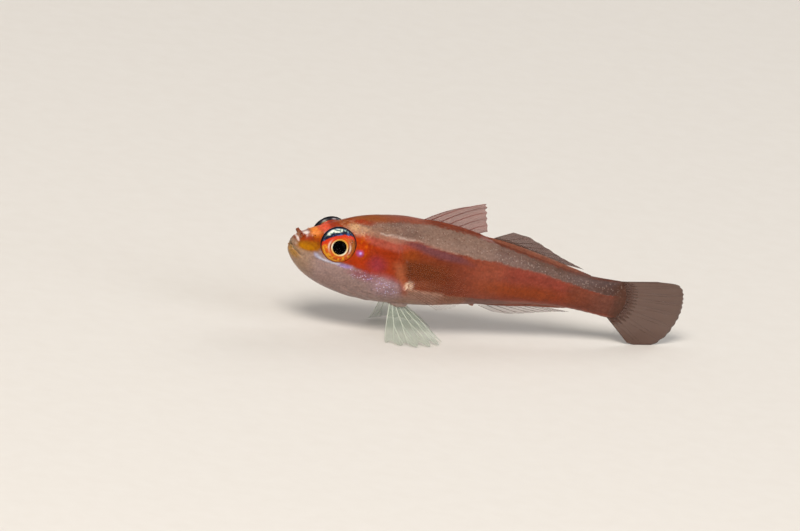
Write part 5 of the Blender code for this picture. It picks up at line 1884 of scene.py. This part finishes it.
soft_lamp("key_lamp", (-0.2, -0.42, 0.54), 0.3, 4.3, "#fff8f0", glossy=False)
soft_lamp("glint_lamp", (-0.33, 0.1, 0.61), 0.14, 5.0, "#fff8f0", diffuse=False)
soft_lamp("fill_lamp", (0.5, -0.35, 0.3), 0.4, 1.2, "#f2f6ff")
soft_lamp("rear_lamp", (0.55, 0.42, 0.42), 0.4, 1.3, "#ffffff")
sky = bpy.data.worlds.new("pale_sky")
sky.use_nodes = True
background = sky.node_tree.nodes["Background"]
background.inputs["Color"].default_value = linear(SKY_COLOUR)
background.inputs["Strength"].default_value = SKY_STRENGTH
bpy.context.scene.world = sky
bpy.context.scene.view_settings.view_transform = "Standard"
print(len(bpy.data.lights), "lamps")

# %% [markdown]
# ## The camera
#
# The photo's view is known from the straight fish: how far the camera stands round towards the head, how
# far above, how much it is rolled, how large a millimetre is in the picture and where the snout is in it.
# A long lens keeps the fish's proportions, as a close-up lens at some distance does.

# %% The photo's view
PICTURE = (800, 531)
SNOUT_AT = (288, 246)
MM_PER_PIXEL = 0.071867
VIEW_ROUND = math.radians(18)
VIEW_ABOVE = math.radians(14.5)
VIEW_ROLL = math.radians(-14.55)
LENS, SENSOR = 600.0, 36.0
NEAREST, FARTHEST = 0.01, 20


def view_axes():
    """The picture's right and up and the way to the camera, in the straight fish's space."""
    level = np.array([math.cos(VIEW_ROUND), -math.sin(VIEW_ROUND), 0])
    behind = np.array([math.sin(VIEW_ROUND), math.cos(VIEW_ROUND), 0])
    over = math.sin(VIEW_ABOVE) * behind + np.array([0, 0, math.cos(VIEW_ABOVE)])
    right = math.cos(VIEW_ROLL) * level - math.sin(VIEW_ROLL) * over
    up = math.sin(VIEW_ROLL) * level + math.cos(VIEW_ROLL) * over
    return right, up, np.cross(right, up)


right, up, to_camera = view_axes()
to_right, to_top = PICTURE[0] / 2 - SNOUT_AT[0], SNOUT_AT[1] - PICTURE[1] / 2
target = (right * to_right + up * to_top) * MM_PER_PIXEL
distance = PICTURE[0] * MM_PER_PIXEL * LENS / SENSOR
place = (STAND @ (target + to_camera * distance) + SHIFT) * MM
turn = Matrix(np.stack([STAND @ right, STAND @ up, STAND @ to_camera], axis=1).tolist())
lens = bpy.data.cameras.new("camera")
lens.lens, lens.sensor_width = LENS, SENSOR
lens.clip_start, lens.clip_end = NEAREST, FARTHEST
camera = bpy.data.objects.new("camera", lens)
camera.matrix_world = Matrix.Translation(place) @ turn.to_4x4()
bpy.context.scene.collection.objects.link(camera)
bpy.context.scene.camera = camera
print("the camera is", round(float(place[2]), 3), "m above the floor and", round(distance * MM, 2),
      "m away")
